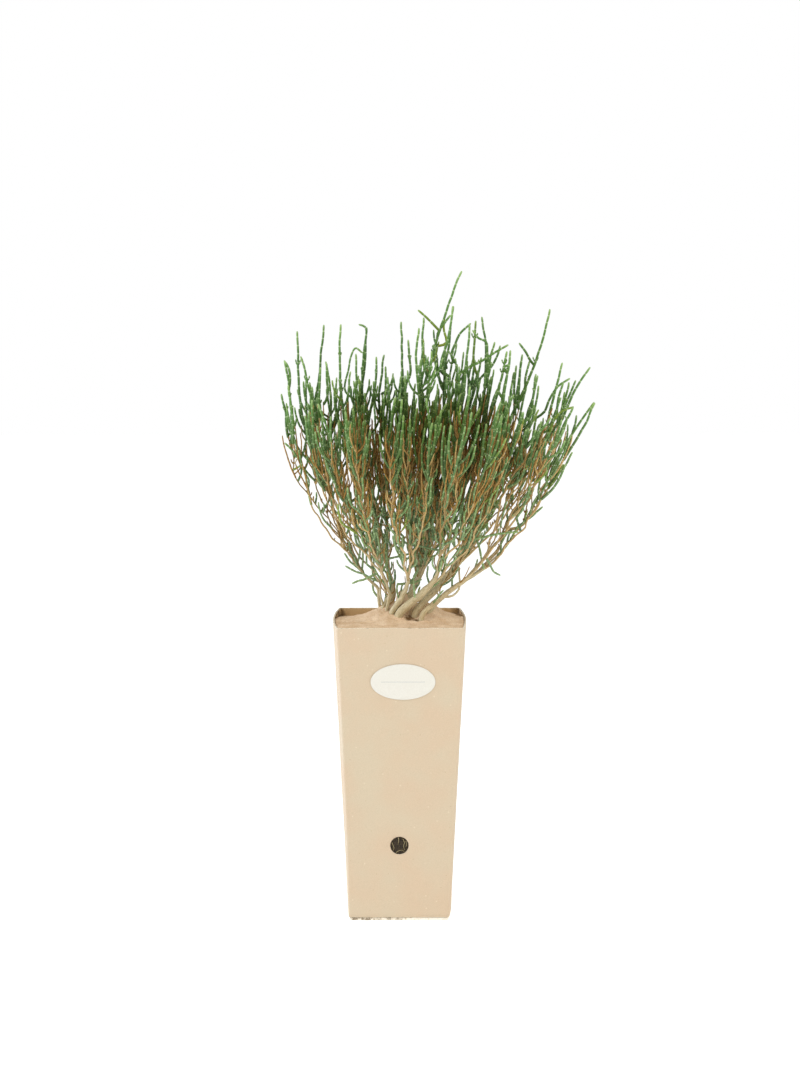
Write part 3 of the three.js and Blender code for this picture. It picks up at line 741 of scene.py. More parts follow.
def bend(axis, seed):  # a slow bow, and small turns at the joints
    amount = tubeLook[axis["kind"]].get("bend")
    if amount is None:
        return axis
    draw = draws(seed)
    length = pathLength(axis["path"])
    marks = np.linspace(0, length, max(3, round(length / fineGrowth["pointGap"])) + 1)
    points = curveAlong(axis["path"], marks)
    bow = amount * length / fineGrowth["bowLength"] * np.sin(math.pi * marks / length)
    angle = 2 * math.pi * draw()
    held = np.minimum(marks / 10, 1) * amount * 0.5
    turns = np.array([[grain(mark / fineGrowth["turnSize"], seed * 0.61, key, 2) for key in (3.5, 8.5)]
                      for mark in marks])
    points[:, 0] += math.cos(angle) * bow + held * turns[:, 0]
    points[:, 1] += math.sin(angle) * bow + held * turns[:, 1]
    return dict(axis, path=list(points))


# short opposite side shoots: fresh ones that have only begun to grow, and withered ones on the twigs
budKinds = {
    "shoot": {"kind": "bud", "share": 0.16, "start": 10, "end": 0.75, "gap": 9, "size": (2.5, 4),
              "radii": (0.9, 0.8)},
    "twig": {"kind": "stub", "share": 0.3, "start": 24, "end": 1, "gap": 6.5, "size": (2, 3.5),
             "radii": (0.75, 0.6)},
}
budRoute = [(0, 0), (0.4, 0.45), (0.55, 1)]  # out and up, as shares of its size


def addBuds(axes, seed):
    draw = draws(seed)
    buds = []
    for axis in axes:
        habit = budKinds.get(axis["kind"])
        if habit is None:
            continue
        for mark in np.arange(habit["start"], pathLength(axis["path"]) * habit["end"], habit["gap"]):
            share, angle, size = draw(), 2 * math.pi * draw(), drawn(habit["size"], draw)
            if share > habit["share"]:
                continue
            foot = curveAlong(axis["path"], np.array([mark]))[0]
            for turn in (angle, angle + math.pi):
                side = np.array((math.cos(turn), math.sin(turn), 0))
                path = [foot + side * out * size + (0, 0, up * size) for out, up in budRoute]
                buds.append({"kind": habit["kind"], "path": path, "radii": habit["radii"]})
    return axes + buds


# single shoots that break the bush's outline, from foot to tip: kind, depth, then (across, up)
strays = [
    ("shoot", -25, (34, 604), (26, 612), (18, 619)),
    ("shoot", -35, (42, 560), (47, 590), (51, 613), (52, 624)),
    ("shoot", -10, (38, 595), (45, 606), (51, 614)),
    ("shoot", -40, (51, 573), (55, 588), (58, 595), (70, 607)),
    ("shoot", -20, (88, 562), (88, 578), (87, 587), (79, 591), (73, 599)),
    ("shoot", -70, (58, 554), (65, 562), (79, 569), (93, 578), (107, 586)),
    ("shoot", -55, (97, 540), (100, 554), (103, 570), (105, 580)),
    ("shoot", -55, (102, 564), (108, 567)),
    ("shoot", -5, (131, 569), (128, 575), (120, 586)),
    ("shoot", 15, (-37, 553), (-35, 586), (-36, 602), (-42, 604)),
    ("lateral", 20, (-55, 535), (-52, 560), (-50, 571), (-45, 580), (-38, 575)),
    ("shoot", -30, (-110, 548), (-112, 564), (-115, 569)),
    ("shoot", 0, (155, 459), (166, 479), (183, 506), (197, 526)),
    ("shoot", -30, (151, 505), (159, 518), (173, 524)),
    ("shoot", -20, (145, 517), (150, 529), (159, 543), (171, 551)),
    ("lateral", -20, (-33, 349), (-36, 351), (-45, 354), (-56, 360)),
    ("lateral", -25, (-33, 349), (-37, 347), (-42, 346), (-49, 343)),
    ("lateral", -10, (-46, 359), (-50, 362), (-57, 372)),
    ("lateral", -30, (86, 373), (90, 366), (94, 358), (101, 354)),
    ("lateral", -30, (81, 377), (82, 371), (85, 357)),
    ("lateral", -40, (81, 394), (88, 396), (105, 399), (118, 400)),
    ("lateral", 0, (138, 423), (142, 424), (146, 429), (151, 435)),
    ("lateral", 0, (136, 410), (138, 412), (146, 419)),
    ("lateral", -10, (-102, 470), (-107, 478), (-116, 487)),
    ("shoot", -80, (23, 485), (36, 514), (45, 530)),
    ("shoot", -85, (53, 488), (60, 498), (69, 510), (77, 526)),
    ("shoot", -90, (50, 456), (45, 476), (43, 498)),
    ("shoot", -15, (120, 527), (121, 551), (122, 568)),
    ("shoot", 10, (117, 518), (116, 537), (118, 563)),
    ("shoot", 5, (124, 530), (127, 552), (131, 568)),
    ("shoot", -15, (130, 518), (133, 537), (137, 555)),
    ("shoot", -10, (-27, 532), (-24, 556), (-24, 572)),
    ("shoot", -15, (9, 552), (9, 575), (8, 590)),
    ("shoot", 0, (-74, 530), (-74, 551), (-74, 566)),
    ("shoot", -20, (-82, 518), (-81, 541), (-80, 562)),
    ("shoot", -20, (46, 585), (44, 601), (45, 613)),
    ("shoot", -15, (76, 560), (76, 590), (77, 608)),
    ("lateral", -30, (14, 352), (14, 340), (15, 330)),
    ("lateral", -30, (8, 344), (14, 345), (22, 348)),
    ("lateral", -35, (-4, 372), (4, 374), (14, 376)),
    ("lateral", -35, (20, 384), (32, 381), (45, 379)),
    ("twig", -25, (52, 330), (59, 336), (60, 353), (59, 365), (65, 392)),
    ("twig", -20, (42, 328), (37, 335)),
    ("twig", -12, (-20, 327), (-21, 346), (-31, 357), (-41, 367), (-51, 390), (-54, 405)),
    ("twig", -8, (-16, 339), (-19, 357), (-21, 376), (-22, 399), (-22, 424)),
    ("twig", -5, (-27, 352), (-30, 370), (-36, 388), (-42, 412)),
    ("lateral", -20, (-38, 352), (-38, 364), (-38, 378)),
    ("lateral", -22, (-35, 380), (-37, 392), (-36, 405)),
    ("lateral", -20, (-28, 352), (-27, 360), (-27, 372)),
    ("lateral", -18, (-46, 366), (-50, 372), (-52, 384)),
    ("lateral", -20, (-24, 384), (-26, 396), (-24, 412)),
    ("lateral", -20, (-44, 388), (-46, 402), (-44, 416)),
    ("lateral", -22, (-33, 362), (-34, 372), (-32, 386)),
    ("lateral", -15, (-41, 372), (-42, 384), (-46, 396)),
    ("lateral", -15, (-27, 331), (-28, 338), (-26, 346)),
]
strayRadii = {"shoot": (1.4, 1.1), "lateral": (1.2, 1.05), "twig": (1.1, 0.8)}
strayRoots = {"first": 0.05, "last": 0.92, "count": 24, "behind": 7, "depthWeight": 0.35}


def addStrays(grown):  # each grows out of the nearest twig, shoot or trunk below its foot
    look = strayRoots
    shares = np.linspace(look["first"], look["last"], look["count"])
    samples, homes = [], []
    for stemIndex, axes in enumerate(grown):
        for axis in axes:
            samples.append(curveAlong(axis["path"], shares * pathLength(axis["path"])))
            homes += [stemIndex] * look["count"]
    samples = np.concatenate(samples)
    for kind, depth, *stops in strays:
        route = [np.array((x, depth, z), float) for x, z in stops]
        start = route[1] - route[0]
        behind = route[0] - start / np.linalg.norm(start) * look["behind"]
        nearest = int(np.argmin(np.linalg.norm((samples - behind) * (1, look["depthWeight"], 1), axis=1)))
        shift = np.array((0, samples[nearest][1] - depth, 0))
        path = [samples[nearest]] + [point + shift for point in route]
        grown[homes[nearest]].append({"kind": kind, "path": path, "radii": strayRadii[kind]})


# fine tubes along the axes

tubeLook = {
    "trunk": {"sides": 16, "step": 2.6, "thins": (0.35, 0.5)}, "stump": {"sides": 26, "step": 1.2},
    "twig": {"sides": 6, "step": 4.5, "flare": 0.5}, "shoot": {"sides": 7, "joint": 9.0, "bend": 1.6},
    "lateral": {"sides": 6, "joint": 8.0, "bend": 2.6}, "spike": {"sides": 5, "joint": 7.5, "bend": 2.0},
    "bud": {"sides": 5, "joint": 4.0}, "stub": {"sides": 4, "joint": 3.0},
}
tubeShape = {"rootRadius": 0.7, "flareLength": 5, "barkRound": 1.3, "barkLength": 14, "long": 60,
             "longTint": 0.9, "shift": 40}
barkDepth = {"trunk": 0.16, "twig": 0.1, "stump": 0.22}
kindIndex = {"trunk": 0, "twig": 0, "stump": 3, "shoot": 1, "lateral": 1, "bud": 1, "spike": 2, "stub": 2}
skinKeys = ("skin", "collar", "age", "tint", "height", "inside")


def curveAlong(points, lengths):  # a smooth curve through the points, at these lengths
    points = np.array(points)
    chords = np.linalg.norm(np.diff(points, axis=0), axis=1)
    marks = np.concatenate([[0], np.cumsum(chords)])
    slopes = np.gradient(points, marks, axis=0)
    k = np.clip(np.searchsorted(marks, lengths, "right") - 1, 0, len(chords) - 1)
    h = chords[k][:, None]
    t = (lengths[:, None] - marks[k][:, None]) / h
    a, b = points[k], points[k + 1]
    return (a * (2 * t ** 3 - 3 * t ** 2 + 1) + slopes[k] * h * (t ** 3 - 2 * t ** 2 + t)
            + b * (3 * t ** 2 - 2 * t ** 3) + slopes[k + 1] * h * (t ** 3 - t ** 2))


def pathLength(points):
    return float(np.linalg.norm(np.diff(np.array(points), axis=0), axis=1).sum())


def jointedProfile(length, joint, radii, draw):
    # each joint is slim at its foot and swells to a narrow collar at its top
    count = max(2, round(length / joint))
    edges = np.cumsum([0] + [1.2 - 0.5 * k / count + 0.3 * (draw() - 0.5) for k in range(count)])
    edges = edges / edges[-1] * length
    rings = []  # place, thickness, collar
    for low, high in zip(edges, edges[1:]):
        rings += [(low, 0.84, 1.0), (low + 0.9, 0.97, 0.0)]
        rings += [(mix(low, high, 0.5), 1.0, 0.0), (high - 0.9, 1.04, 0.1)]
    rings = rings[:-1] + [(length - 1.1, 0.85, 0.3), (length - 0.3, 0.6, 0.6), (length, 0.25, 0.7)]
    marks, factors, collars = np.array(rings).T
    marks = np.maximum.accumulate(marks) + np.arange(len(marks)) * 0.01  # no two rings at one place
    shares = marks / marks[-1]
    return shares * length, factors * mix(radii[0], radii[1], shares), collars


def barkProfile(length, look, radii):
    marks = np.linspace(0, length, max(4, round(length / look["step"])) + 1)
    shares = marks / length
    if "thins" in look:  # from where along it, and over what share of its length
        start, reach = look["thins"]
        shares = np.clip((shares - start) / reach, 0, 1)
        shares = shares * shares * (3 - 2 * shares)
    flare = 1 + look.get("flare", 0) * np.exp(-marks / tubeShape["flareLength"])
    return marks, mix(radii[0], radii[1], shares) * flare, np.zeros(len(marks))


def sweep(store, centres, side, front, angle, reach):  # a closed tube of rings round the centres
    ring = np.cos(angle)[None, :, None] * side[:, None] + np.sin(angle)[None, :, None] * front[:, None]
    points = (centres[:, None] + ring * reach[:, :, None]).reshape(-1, 3)
    index = store["count"] + np.arange(len(points)).reshape(reach.shape)
    quads = np.stack([index[:-1], np.roll(index, -1, 1)[:-1], np.roll(index, -1, 1)[1:], index[1:]], axis=-1)
    store["faces"] += quads.reshape(-1, 4).tolist() + [index[0][::-1].tolist(), index[-1].tolist()]
    store["points"].append(points)
    store["count"] += len(points)
    return points


def directions(centres):
    forward = np.gradient(centres, axis=0)
    return forward / np.linalg.norm(forward, axis=1)[:, None]


def addTube(store, axis, seed):
    kind = axis["kind"]
    look = tubeLook[kind]
    draw = draws(seed)
    length = pathLength(axis["path"])
    if "joint" in look:
        marks, radius, collar = jointedProfile(length, look["joint"], axis["radii"], draw)
        radius[0] = min(radius[0], tubeShape["rootRadius"])
    else:
        marks, radius, collar = barkProfile(length, look, axis["radii"])
    centres = curveAlong(axis["path"], marks)
    forward = directions(centres)
    if kind == "stump":
        radius = radius * np.sqrt(np.clip(1 - (marks / length) ** 5, 0.01, 1))
    whole = centres[-1] - centres[0]
    reference = np.cross(whole, (0.31, 0.95, 0.05) if abs(whole[1]) < abs(whole[0]) else (0.95, 0.31, 0.05))
    side = reference - forward * (forward @ reference)[:, None]
    side /= np.linalg.norm(side, axis=1)[:, None]
    sides = look["sides"]
    angle = np.arange(sides) / sides * 2 * math.pi + draw() * 6
    reach = np.repeat(radius[:, None], sides, axis=1)
    if kind in barkDepth:
        reach = reach * barkRelief(angle, marks, seed, barkDepth[kind])
    points = sweep(store, centres, side, np.cross(forward, side), angle, reach)
    store["kinds"] += [kindIndex[kind]] * ((len(marks) - 1) * sides + 2)
    tint = draw() * (tubeShape["longTint"] if length > tubeShape["long"] else 1)
    skin = np.stack([np.cos(angle)[None] * reach, np.sin(angle)[None] * reach,
                     np.repeat(marks[:, None], sides, axis=1) + tubeShape["shift"] * draw()], axis=-1)
    # painted shade for each ring, from how deep in the bush it lies
    inside = [paintedShadeShare(*centre) for centre in centres]
    values = (skin.reshape(-1, 3), np.repeat(collar, sides), np.repeat(1 - marks / length, sides),
              np.full(len(points), tint), points[:, 2] - pot["height"], np.repeat(inside, sides))
    for key, value in zip(skinKeys, values):
        store[key].append(value)


# painted shade deep in the bush: how far in from the outline it starts and over what share it deepens, how
# much the right side is spared as if lit from there, and how it fades under the crown's top and towards the
# foot
shadow = {"outline": 1.05, "fade": 0.6, "rightFall": 0.4, "rightStart": 0.2, "highest": 235,
          "overCrown": 12, "topFade": 40, "foot": 95, "footFade": 95}


def paintedShadeShare(x, y, z):  # painted shade: 1 deep in the bush, 0 at its outline, its top and its foot, with less on the right as if lit from there
    height = z - pot["height"]
    across = (x - middleAt(height)) / spreadAt(height)
    right = shadow["rightFall"] * clamp(across - shadow["rightStart"], 0, 1)
    deep = clamp((shadow["outline"] - crownShare(x, y, height) - right) / shadow["fade"], 0, 1)
    under = min(crownTop(x), shadow["highest"]) + shadow["overCrown"] - height
    return deep * smooth(under / shadow["topFade"]) * smooth((height - shadow["foot"]) / shadow["footFade"])


def barkRelief(angle, marks, seed, strength):
    size, length = tubeShape["barkRound"], tubeShape["barkLength"]
    around = [(math.cos(a) * size, math.sin(a) * size + seed % 97) for a in angle]
    return 1 + strength * np.array([[grain(x, y, mark / length, 2) for x, y in around] for mark in marks])


def paintedShadeInside(tree, base, code):  # painted shade: growth deep in the bush gets little light, so its colour is darkened here
    inside = addNode(tree, "Attribute", {"attribute_name": "inside"}).outputs["Fac"]
    return addNode(tree, "Mix", multiply, i0=inside, i6=base, i7=code)


# Living samphire skin: grown, smooth and waxy. It is matt green with a faint bloom and a pale collar
# at each joint, and turns yellow-green at the tips.
# inside is the colour of painted shade deep in the bush
shootLook = {
    "deep": "#517034", "fresh": "#658b47", "tip": "#95b26b", "bloom": "#98aa80", "collar": "#b9cb98",
    "yellow": "#97a02f", "inside": "#acad70", "roughness": 0.5, "speckleSize": 0.7,
}


def shootMaterial():
    look = shootLook
    material, tree = newMaterial("samphireSkinGrownWaxy")
    age, tint, collar, height = (addNode(tree, "Attribute", {"attribute_name": name}).outputs["Fac"]
                                 for name in ("age", "tint", "collar", "height"))
    skin = addNode(tree, "Attribute", {"attribute_name": "skin"}).outputs["Vector"]
    greens = [(0.0, look["tip"]), (0.18, look["fresh"]), (0.9, look["deep"])]
    base = addNode(tree, "ValToRGB", stops=greens, i0=age)
    low = addNode(tree, "MapRange", i0=height, i1=210.0, i2=60.0, i4=0.75)
    base = addNode(tree, "Mix", blend, i0=low, i6=base, i7=look["bloom"])
    odd = addNode(tree, "MapRange", i0=tint, i1=0.93, i2=1.0, i4=0.7)
    base = addNode(tree, "Mix", blend, i0=odd, i6=base, i7=look["yellow"])
    shade = addNode(tree, "ValToRGB", stops=[(0.0, "#c4cfc8"), (0.5, "#ffffff"), (0.9, "#e6ecd0")], i0=tint)
    base = addNode(tree, "Mix", multiply, i0=0.8, i6=base, i7=shade)
    speckle = addNode(tree, "TexNoise", Vector=skin, Scale=1 / look["speckleSize"], Detail=2.0)
    spots = addNode(tree, "ValToRGB", stops=[(0.3, "#d5dbcd"), (0.7, "#ffffff")], i0=speckle)
    base = addNode(tree, "Mix", multiply, i0=0.6, i6=base, i7=spots)
    pale = addNode(tree, "MapRange", i0=collar, i4=0.6)
    base = addNode(tree, "Mix", blend, i0=pale, i6=base, i7=look["collar"])
    base = paintedShadeInside(tree, base, look["inside"])
    return coat(material, base, look["roughness"], 0.18, (speckle, 0.25, 0.0002))


# Samphire bark: weathered. Pale grey-beige and furrowed on the old wood, orange-tan on the young twigs.
# inside is the colour of painted shade deep in the bush
barkLook = {"pale": "#d0c3a0", "grey": "#a2966f", "tan": "#ccb17f", "rust": "#a08253", "green": "#66824a",
            "inside": "#b2a581", "shade": "#b3a684", "streakSize": 0.8}


def barkMaterial():
    look = barkLook
    material, tree = newMaterial("samphireBarkWeathered")
    height, tint = (addNode(tree, "Attribute", {"attribute_name": name}).outputs["Fac"]
                    for name in ("height", "tint"))
    skin = addNode(tree, "Attribute", {"attribute_name": "skin"}).outputs["Vector"]
    stretched = addNode(tree, "Mapping", Vector=skin, Scale=(1.0, 1.0, 0.16))
    streaks = addNode(tree, "TexNoise", Vector=stretched, Scale=1 / look["streakSize"], Detail=4.0,
                      Roughness=0.65)
    old = addNode(tree, "ValToRGB", stops=[(0.3, look["grey"]), (0.62, look["pale"])], i0=streaks)
    young = addNode(tree, "ValToRGB", stops=[(0.3, look["rust"]), (0.65, look["tan"])], i0=streaks)
    share = addNode(tree, "MapRange", i0=height, i1=30.0, i2=90.0)
    nudge = addNode(tree, "MapRange", i0=tint, i3=-0.35, i4=0.45)
    nudged = addNode(tree, "Math", {"operation": "ADD", "use_clamp": True}, i0=share, i1=nudge)
    base = addNode(tree, "Mix", blend, i0=nudged, i6=old, i7=young)
    green = addNode(tree, "MapRange", i0=height, i1=195.0, i2=215.0)
    base = addNode(tree, "Mix", blend, i0=green, i6=base, i7=look["green"])
    tone = addNode(tree, "ValToRGB", stops=[(0.0, look["shade"]), (0.55, "#ffffff")], i0=tint)
    base = addNode(tree, "Mix", multiply, i0=share, i6=base, i7=tone)
    return coat(material, paintedShadeInside(tree, base, look["inside"]), 0.85, 0.25, (streaks, 0.5, 0.0005))


# Dried shoots: withered on the plant, so they are rust-brown, dull and darker at their joints.
# inside is the colour of painted shade deep in the bush
dryLook = {"rust": "#a98345", "dark": "#775a2e", "straw": "#c3a76e", "inside": "#b2a581"}


def dryMaterial():
    look = dryLook
    material, tree = newMaterial("samphireShootWithered")
    tint, collar = (addNode(tree, "Attribute", {"attribute_name": name}).outputs["Fac"]
                    for name in ("tint", "collar"))
    skin = addNode(tree, "Attribute", {"attribute_name": "skin"}).outputs["Vector"]
    mottle = addNode(tree, "TexNoise", Vector=skin, Scale=0.6, Detail=3.0)
    base = addNode(tree, "ValToRGB", stops=[(0.3, look["dark"]), (0.6, look["rust"])], i0=mottle)
    straw = addNode(tree, "MapRange", i0=tint, i1=0.5, i2=1.0)
    base = addNode(tree, "Mix", blend, i0=straw, i6=base, i7=look["straw"])
    joint = addNode(tree, "MapRange", i0=collar, i4=0.45)
    base = addNode(tree, "Mix", blend, i0=joint, i6=base, i7=look["dark"])
    return coat(material, paintedShadeInside(tree, base, look["inside"]), 0.8, 0.15, (mottle, 0.4, 0.0003))


# the broad, sand-covered stump of an older stem, which the others grow round
stump = {"stem": 8, "route": [(2, -2, 296), (2, -2, 312), (2.5, -1, 324), (3, 0, 334)], "radii": (8.5, 7)}


def makeStems():
    skins = [barkMaterial(), shootMaterial(), dryMaterial(), sandMaterial()]
    targets = twigTargets()
    grown = []
    for stemIndex, stem in enumerate(stems):
        axes, twigs = growStem(stem, stemIndex, targets)
        axes += growFiner(stem, stemIndex, axes[0]["path"], twigs)
        grown.append([bend(axis, 7000 * (stemIndex + 1) + n) for n, axis in enumerate(axes)])
    addStrays(grown)
    grown[stump["stem"]].append({"kind": "stump", "path": stump["route"], "radii": stump["radii"]})
    total = 0
    for stemIndex, axes in enumerate(grown):
        axes = addBuds(axes, 900 + stemIndex)
        store = {"count": 0} | {key: [] for key in ("points", "faces", "kinds") + skinKeys}
        for n, axis in enumerate(axes):
            addTube(store, axis, 7000 * (stemIndex + 1) + n)
        piece = makeMesh(f"samphireStem{stemIndex + 1:02d}", np.concatenate(store["points"]), store["faces"],
                         skins, store["kinds"], {key: np.concatenate(store[key]) for key in skinKeys})
        dress(piece, "plant", f"stem_{stemIndex + 1:02d}")
        triangles = sum(len(face) - 2 for face in store["faces"])
        total += triangles
        print(piece.name, len(axes), "axes,", triangles, "triangles")
    print("stems made,", total, "triangles")


# sand

# a pair under lumps, ripples, bank or pit is its height or depth, and its size
sandLook = {"pale": "#ebd4b7", "warm": "#dcbe9a", "dark": "#ab8c6e", "soil": "#6d5233",
            "steps": 170, "bottom": 240.3, "gap": 0.35, "lumps": (1.3, 16), "ripples": (0.35, 3.5),
            "bank": (1.2, 2.5), "pit": (1.6, 3.6), "pitAt": (-4.5, 5)}
# where soil shows between the grains, and painted shade in the hollows between the stems' feet and along the
# front rim: (across, depth), its reach, its share and how deep the hollow is
soilAndShadeSpots = [
    ((-3, -2), 5.5, 1.2, 5), ((9.5, -15), 6, 0.8, 1.5), ((19, -21), 4.5, 0.95, 2), ((60, 10), 6, 0.95, -3),
    ((54, 42), 10, 0.5, 0), ((-10, -6), 4, 0.45, 0), ((-62, 40), 7, 0.9, -1), ((0, -60), 22, 0.12, 0),
]


def soilAndShadeAt(x, y):  # the share of soil and painted shade there, and the depth of the hollow
    share = hollow = 0
    for place, reach, spotShare, spotHollow in soilAndShadeSpots:
        near = math.exp(-(math.dist((x, y), place) / reach) ** 2)
        share += near * spotShare
        hollow += near * spotHollow
    return share, hollow


def sandMaterial():  # fine dry beach sand: poured, matt, each grain under a millimetre
    look = sandLook
    material, tree = newMaterial("beachSandPoured")
    place = addNode(tree, "TexCoord").outputs["Object"]
    grains = addNode(tree, "TexNoise", Vector=place, Scale=1400.0, Detail=2.0)
    patches = addNode(tree, "TexNoise", Vector=place, Scale=70.0, Detail=3.0)
    sands = [(0.2, look["dark"]), (0.42, look["warm"]), (0.7, look["pale"])]
    base = addNode(tree, "ValToRGB", stops=sands, i0=grains)
    tone = addNode(tree, "ValToRGB", stops=[(0.35, "#e4d8ca"), (0.65, "#ffffff")], i0=patches)
    base = addNode(tree, "Mix", multiply, i0=0.8, i6=base, i7=tone)
    # the soil share darkens the sand: soil between the grains, and painted shade at the stems' feet and
    # along the front rim
    soil = addNode(tree, "Attribute", {"attribute_name": "soil"}).outputs["Fac"]
    broken = addNode(tree, "TexNoise", Vector=place, Scale=420.0, Detail=3.0)
    nearly = addNode(tree, "Math", {"operation": "ADD"}, i0=soil, i1=broken)
    share = addNode(tree, "MapRange", i0=nearly, i1=0.7, i2=1.15)
    base = addNode(tree, "Mix", blend, i0=share, i6=base, i7=look["soil"])
    return coat(material, base, 0.95, 0.2, (grains, 0.8, 0.0006))


def sandEdge(y, z, inset):  # the pot's inner width at a depth: left, right
    reach = depthAt(z) / 2 - pot["foldRadius"]
    bulge = max(0.0, 1 - (y / reach) ** 2)
    half = widthAt(z) / 2 - inset
    scale = widthAt(z) / pot["rimWidth"]
    return -half - pot["leftBow"] * scale * bulge, half + pot["rightBow"] * scale * bulge


def sandTop(x, y):
    (lumps, lumpSize), (ripples, rippleSize) = sandLook["lumps"], sandLook["ripples"]
    (bank, bankSize), (pit, pitSize) = sandLook["bank"], sandLook["pit"]
    level = sandLevel(x, y) + lumps * grain(x / lumpSize, y / lumpSize, 0.5, 3)
    level += ripples * grain(x / rippleSize, y / rippleSize, 1.5, 2)
    for stem in stems:  # sand banks up against a stem, with a small pit on its lee side
        away = math.dist((x, y), stem["foot"]) - stem["radius"]
        lee = math.dist((x, y), np.add(stem["foot"], sandLook["pitAt"]))
        level += bank * math.exp(-(away / bankSize) ** 2) - pit * math.exp(-(lee / pitSize) ** 2)
    return level - soilAndShadeAt(x, y)[1]


def makeSand():
    steps = sandLook["steps"]
    inset = pot["wall"] + sandLook["gap"]
    points, faces = [], []
    for layer, z in enumerate((pot["height"], sandLook["bottom"])):
        reach = depthAt(z) / 2 - inset
        for i in range(steps + 1):
            y = mix(-reach, reach, i / steps)
            left, right = sandEdge(y, z, inset)
            for j in range(steps + 1):
                x = mix(left, right, j / steps)
                points.append((x, y, z if layer else z + sandTop(x, y)))
    row = steps + 1
    under = row * row
    for i in range(steps):
        for j in range(steps):
            a = i * row + j
            faces.append((a, a + 1, a + row + 1, a + row))
            faces.append((under + a, under + a + row, under + a + row + 1, under + a + 1))
    rim = [(0, j) for j in range(steps)] + [(i, steps) for i in range(steps)]
    rim += [(steps, j) for j in range(steps, 0, -1)] + [(i, 0) for i in range(steps, 0, -1)]
    edge = [i * row + j for i, j in rim]
    for a, b in zip(edge, edge[1:] + edge[:1]):
        faces.append((a, under + a, under + b, b))
    soil = [soilAndShadeAt(x, y)[0] for x, y, z in points]
    dress(makeMesh("sandFill", points, faces, [sandMaterial()], values={"soil": soil}), "sand", "sand")


# base board, root ball, label

def baseMaterial():  # off-white board: pressed, with soil and water marks along its edge
    material, tree = newMaterial("offWhiteBoardPressed")
    place = addNode(tree, "TexCoord").outputs["Object"]
    dirt = addNode(tree, "TexNoise", Vector=place, Scale=260.0, Detail=5.0, Roughness=0.75)
    across = addNode(tree, "SeparateXYZ", Vector=place)
    cleaner = addNode(tree, "MapRange", i0=across, i1=-0.05, i2=0.02, i3=-0.07, i4=0.06)
    dirtHere = addNode(tree, "Math", {"operation": "ADD"}, i0=dirt, i1=cleaner)
    tones = [(0.36, "#7d6a50"), (0.46, "#d8cdb8"), (0.6, "#f1ebdd")]
    base = addNode(tree, "ValToRGB", stops=tones, i0=dirtHere)
    return coat(material, base, 0.9, relief=(dirt, 0.4, 0.0003))


boardShape = {"panelSteps": 40, "foldSteps": 8, "rough": 0.15, "roughSize": 4}


def makeBoard():
    width = pot["footWidth"] - 2 * pot["boardInset"]
    depth = pot["footDepth"] - 2 * pot["boardInset"]
    rough, size = boardShape["rough"], boardShape["roughSize"]
    points = []
    stops = [(0.5, 0), (0.0, 0.5), (0.0, 1.5), (0.0, 2.5), (0.4, 3)]  # inset and height
    for inset, z in stops:
        for x, y in sectionPoints(width, depth, inset, boardShape["panelSteps"], boardShape["foldSteps"]):
            roughX = rough * grain(x / size, y / size, z / 3)
            points.append((x + roughX, y + rough * grain(y / size, x / size, z / 3 + 9), z))
    faces = bands(len(stops), len(points) // len(stops), capped=True)
    dress(makeMesh("baseBoard", points, faces, [baseMaterial()]), "base_board", "base_board")


# Potting mix: peat and bark crumbs, damp, so it is dark and rough.
soilLook = {"name": "pottingMixDamp", "pattern": "TexVoronoi", "scale": 700.0, "detail": 0.0,
            "roughness": 0.9, "stops": [(0.1, "#4a3c28"), (0.5, "#2e2415"), (0.9, "#171008")],
            "relief": (0.8, 0.0008)}
# Young roots: grown, so they are pale, smooth and faintly mottled.
rootLook = {"name": "youngRootGrown", "pattern": "TexNoise", "scale": 900.0, "detail": 2.0, "roughness": 0.6,
            "stops": [(0.3, "#7d6d48"), (0.7, "#a3966c")]}
drainSoil = {"rings": 14, "spokes": 56, "overlap": 0.6, "crumb": 0.55, "crumbSize": 2.2, "out": 0.35,
             "thickness": 0.4, "rootOut": 0.75, "rootSteps": 22, "rootSides": 8, "rootRadius": 0.34,
             "rootTaper": 0.45}
# roots across and up from the hole's middle, from end to end
drainRoots = [
    [(-1.2, 8.6), (-0.7, 6.0), (-1.0, 3.4), (-1.4, 0.8)],
    [(3.6, 6.8), (5.0, 3.0), (4.2, -1.0), (5.4, -5.2)],
    [(-7.6, 3.0), (-6.4, 0.0), (-5.6, -3.2), (-6.2, -5.4)],
    [(-3.6, -7.8), (-0.6, -5.6), (2.6, -5.2), (5.2, -6.8)],
    [(6.6, 4.4), (7.2, 1.4), (6.6, -1.8)],
]


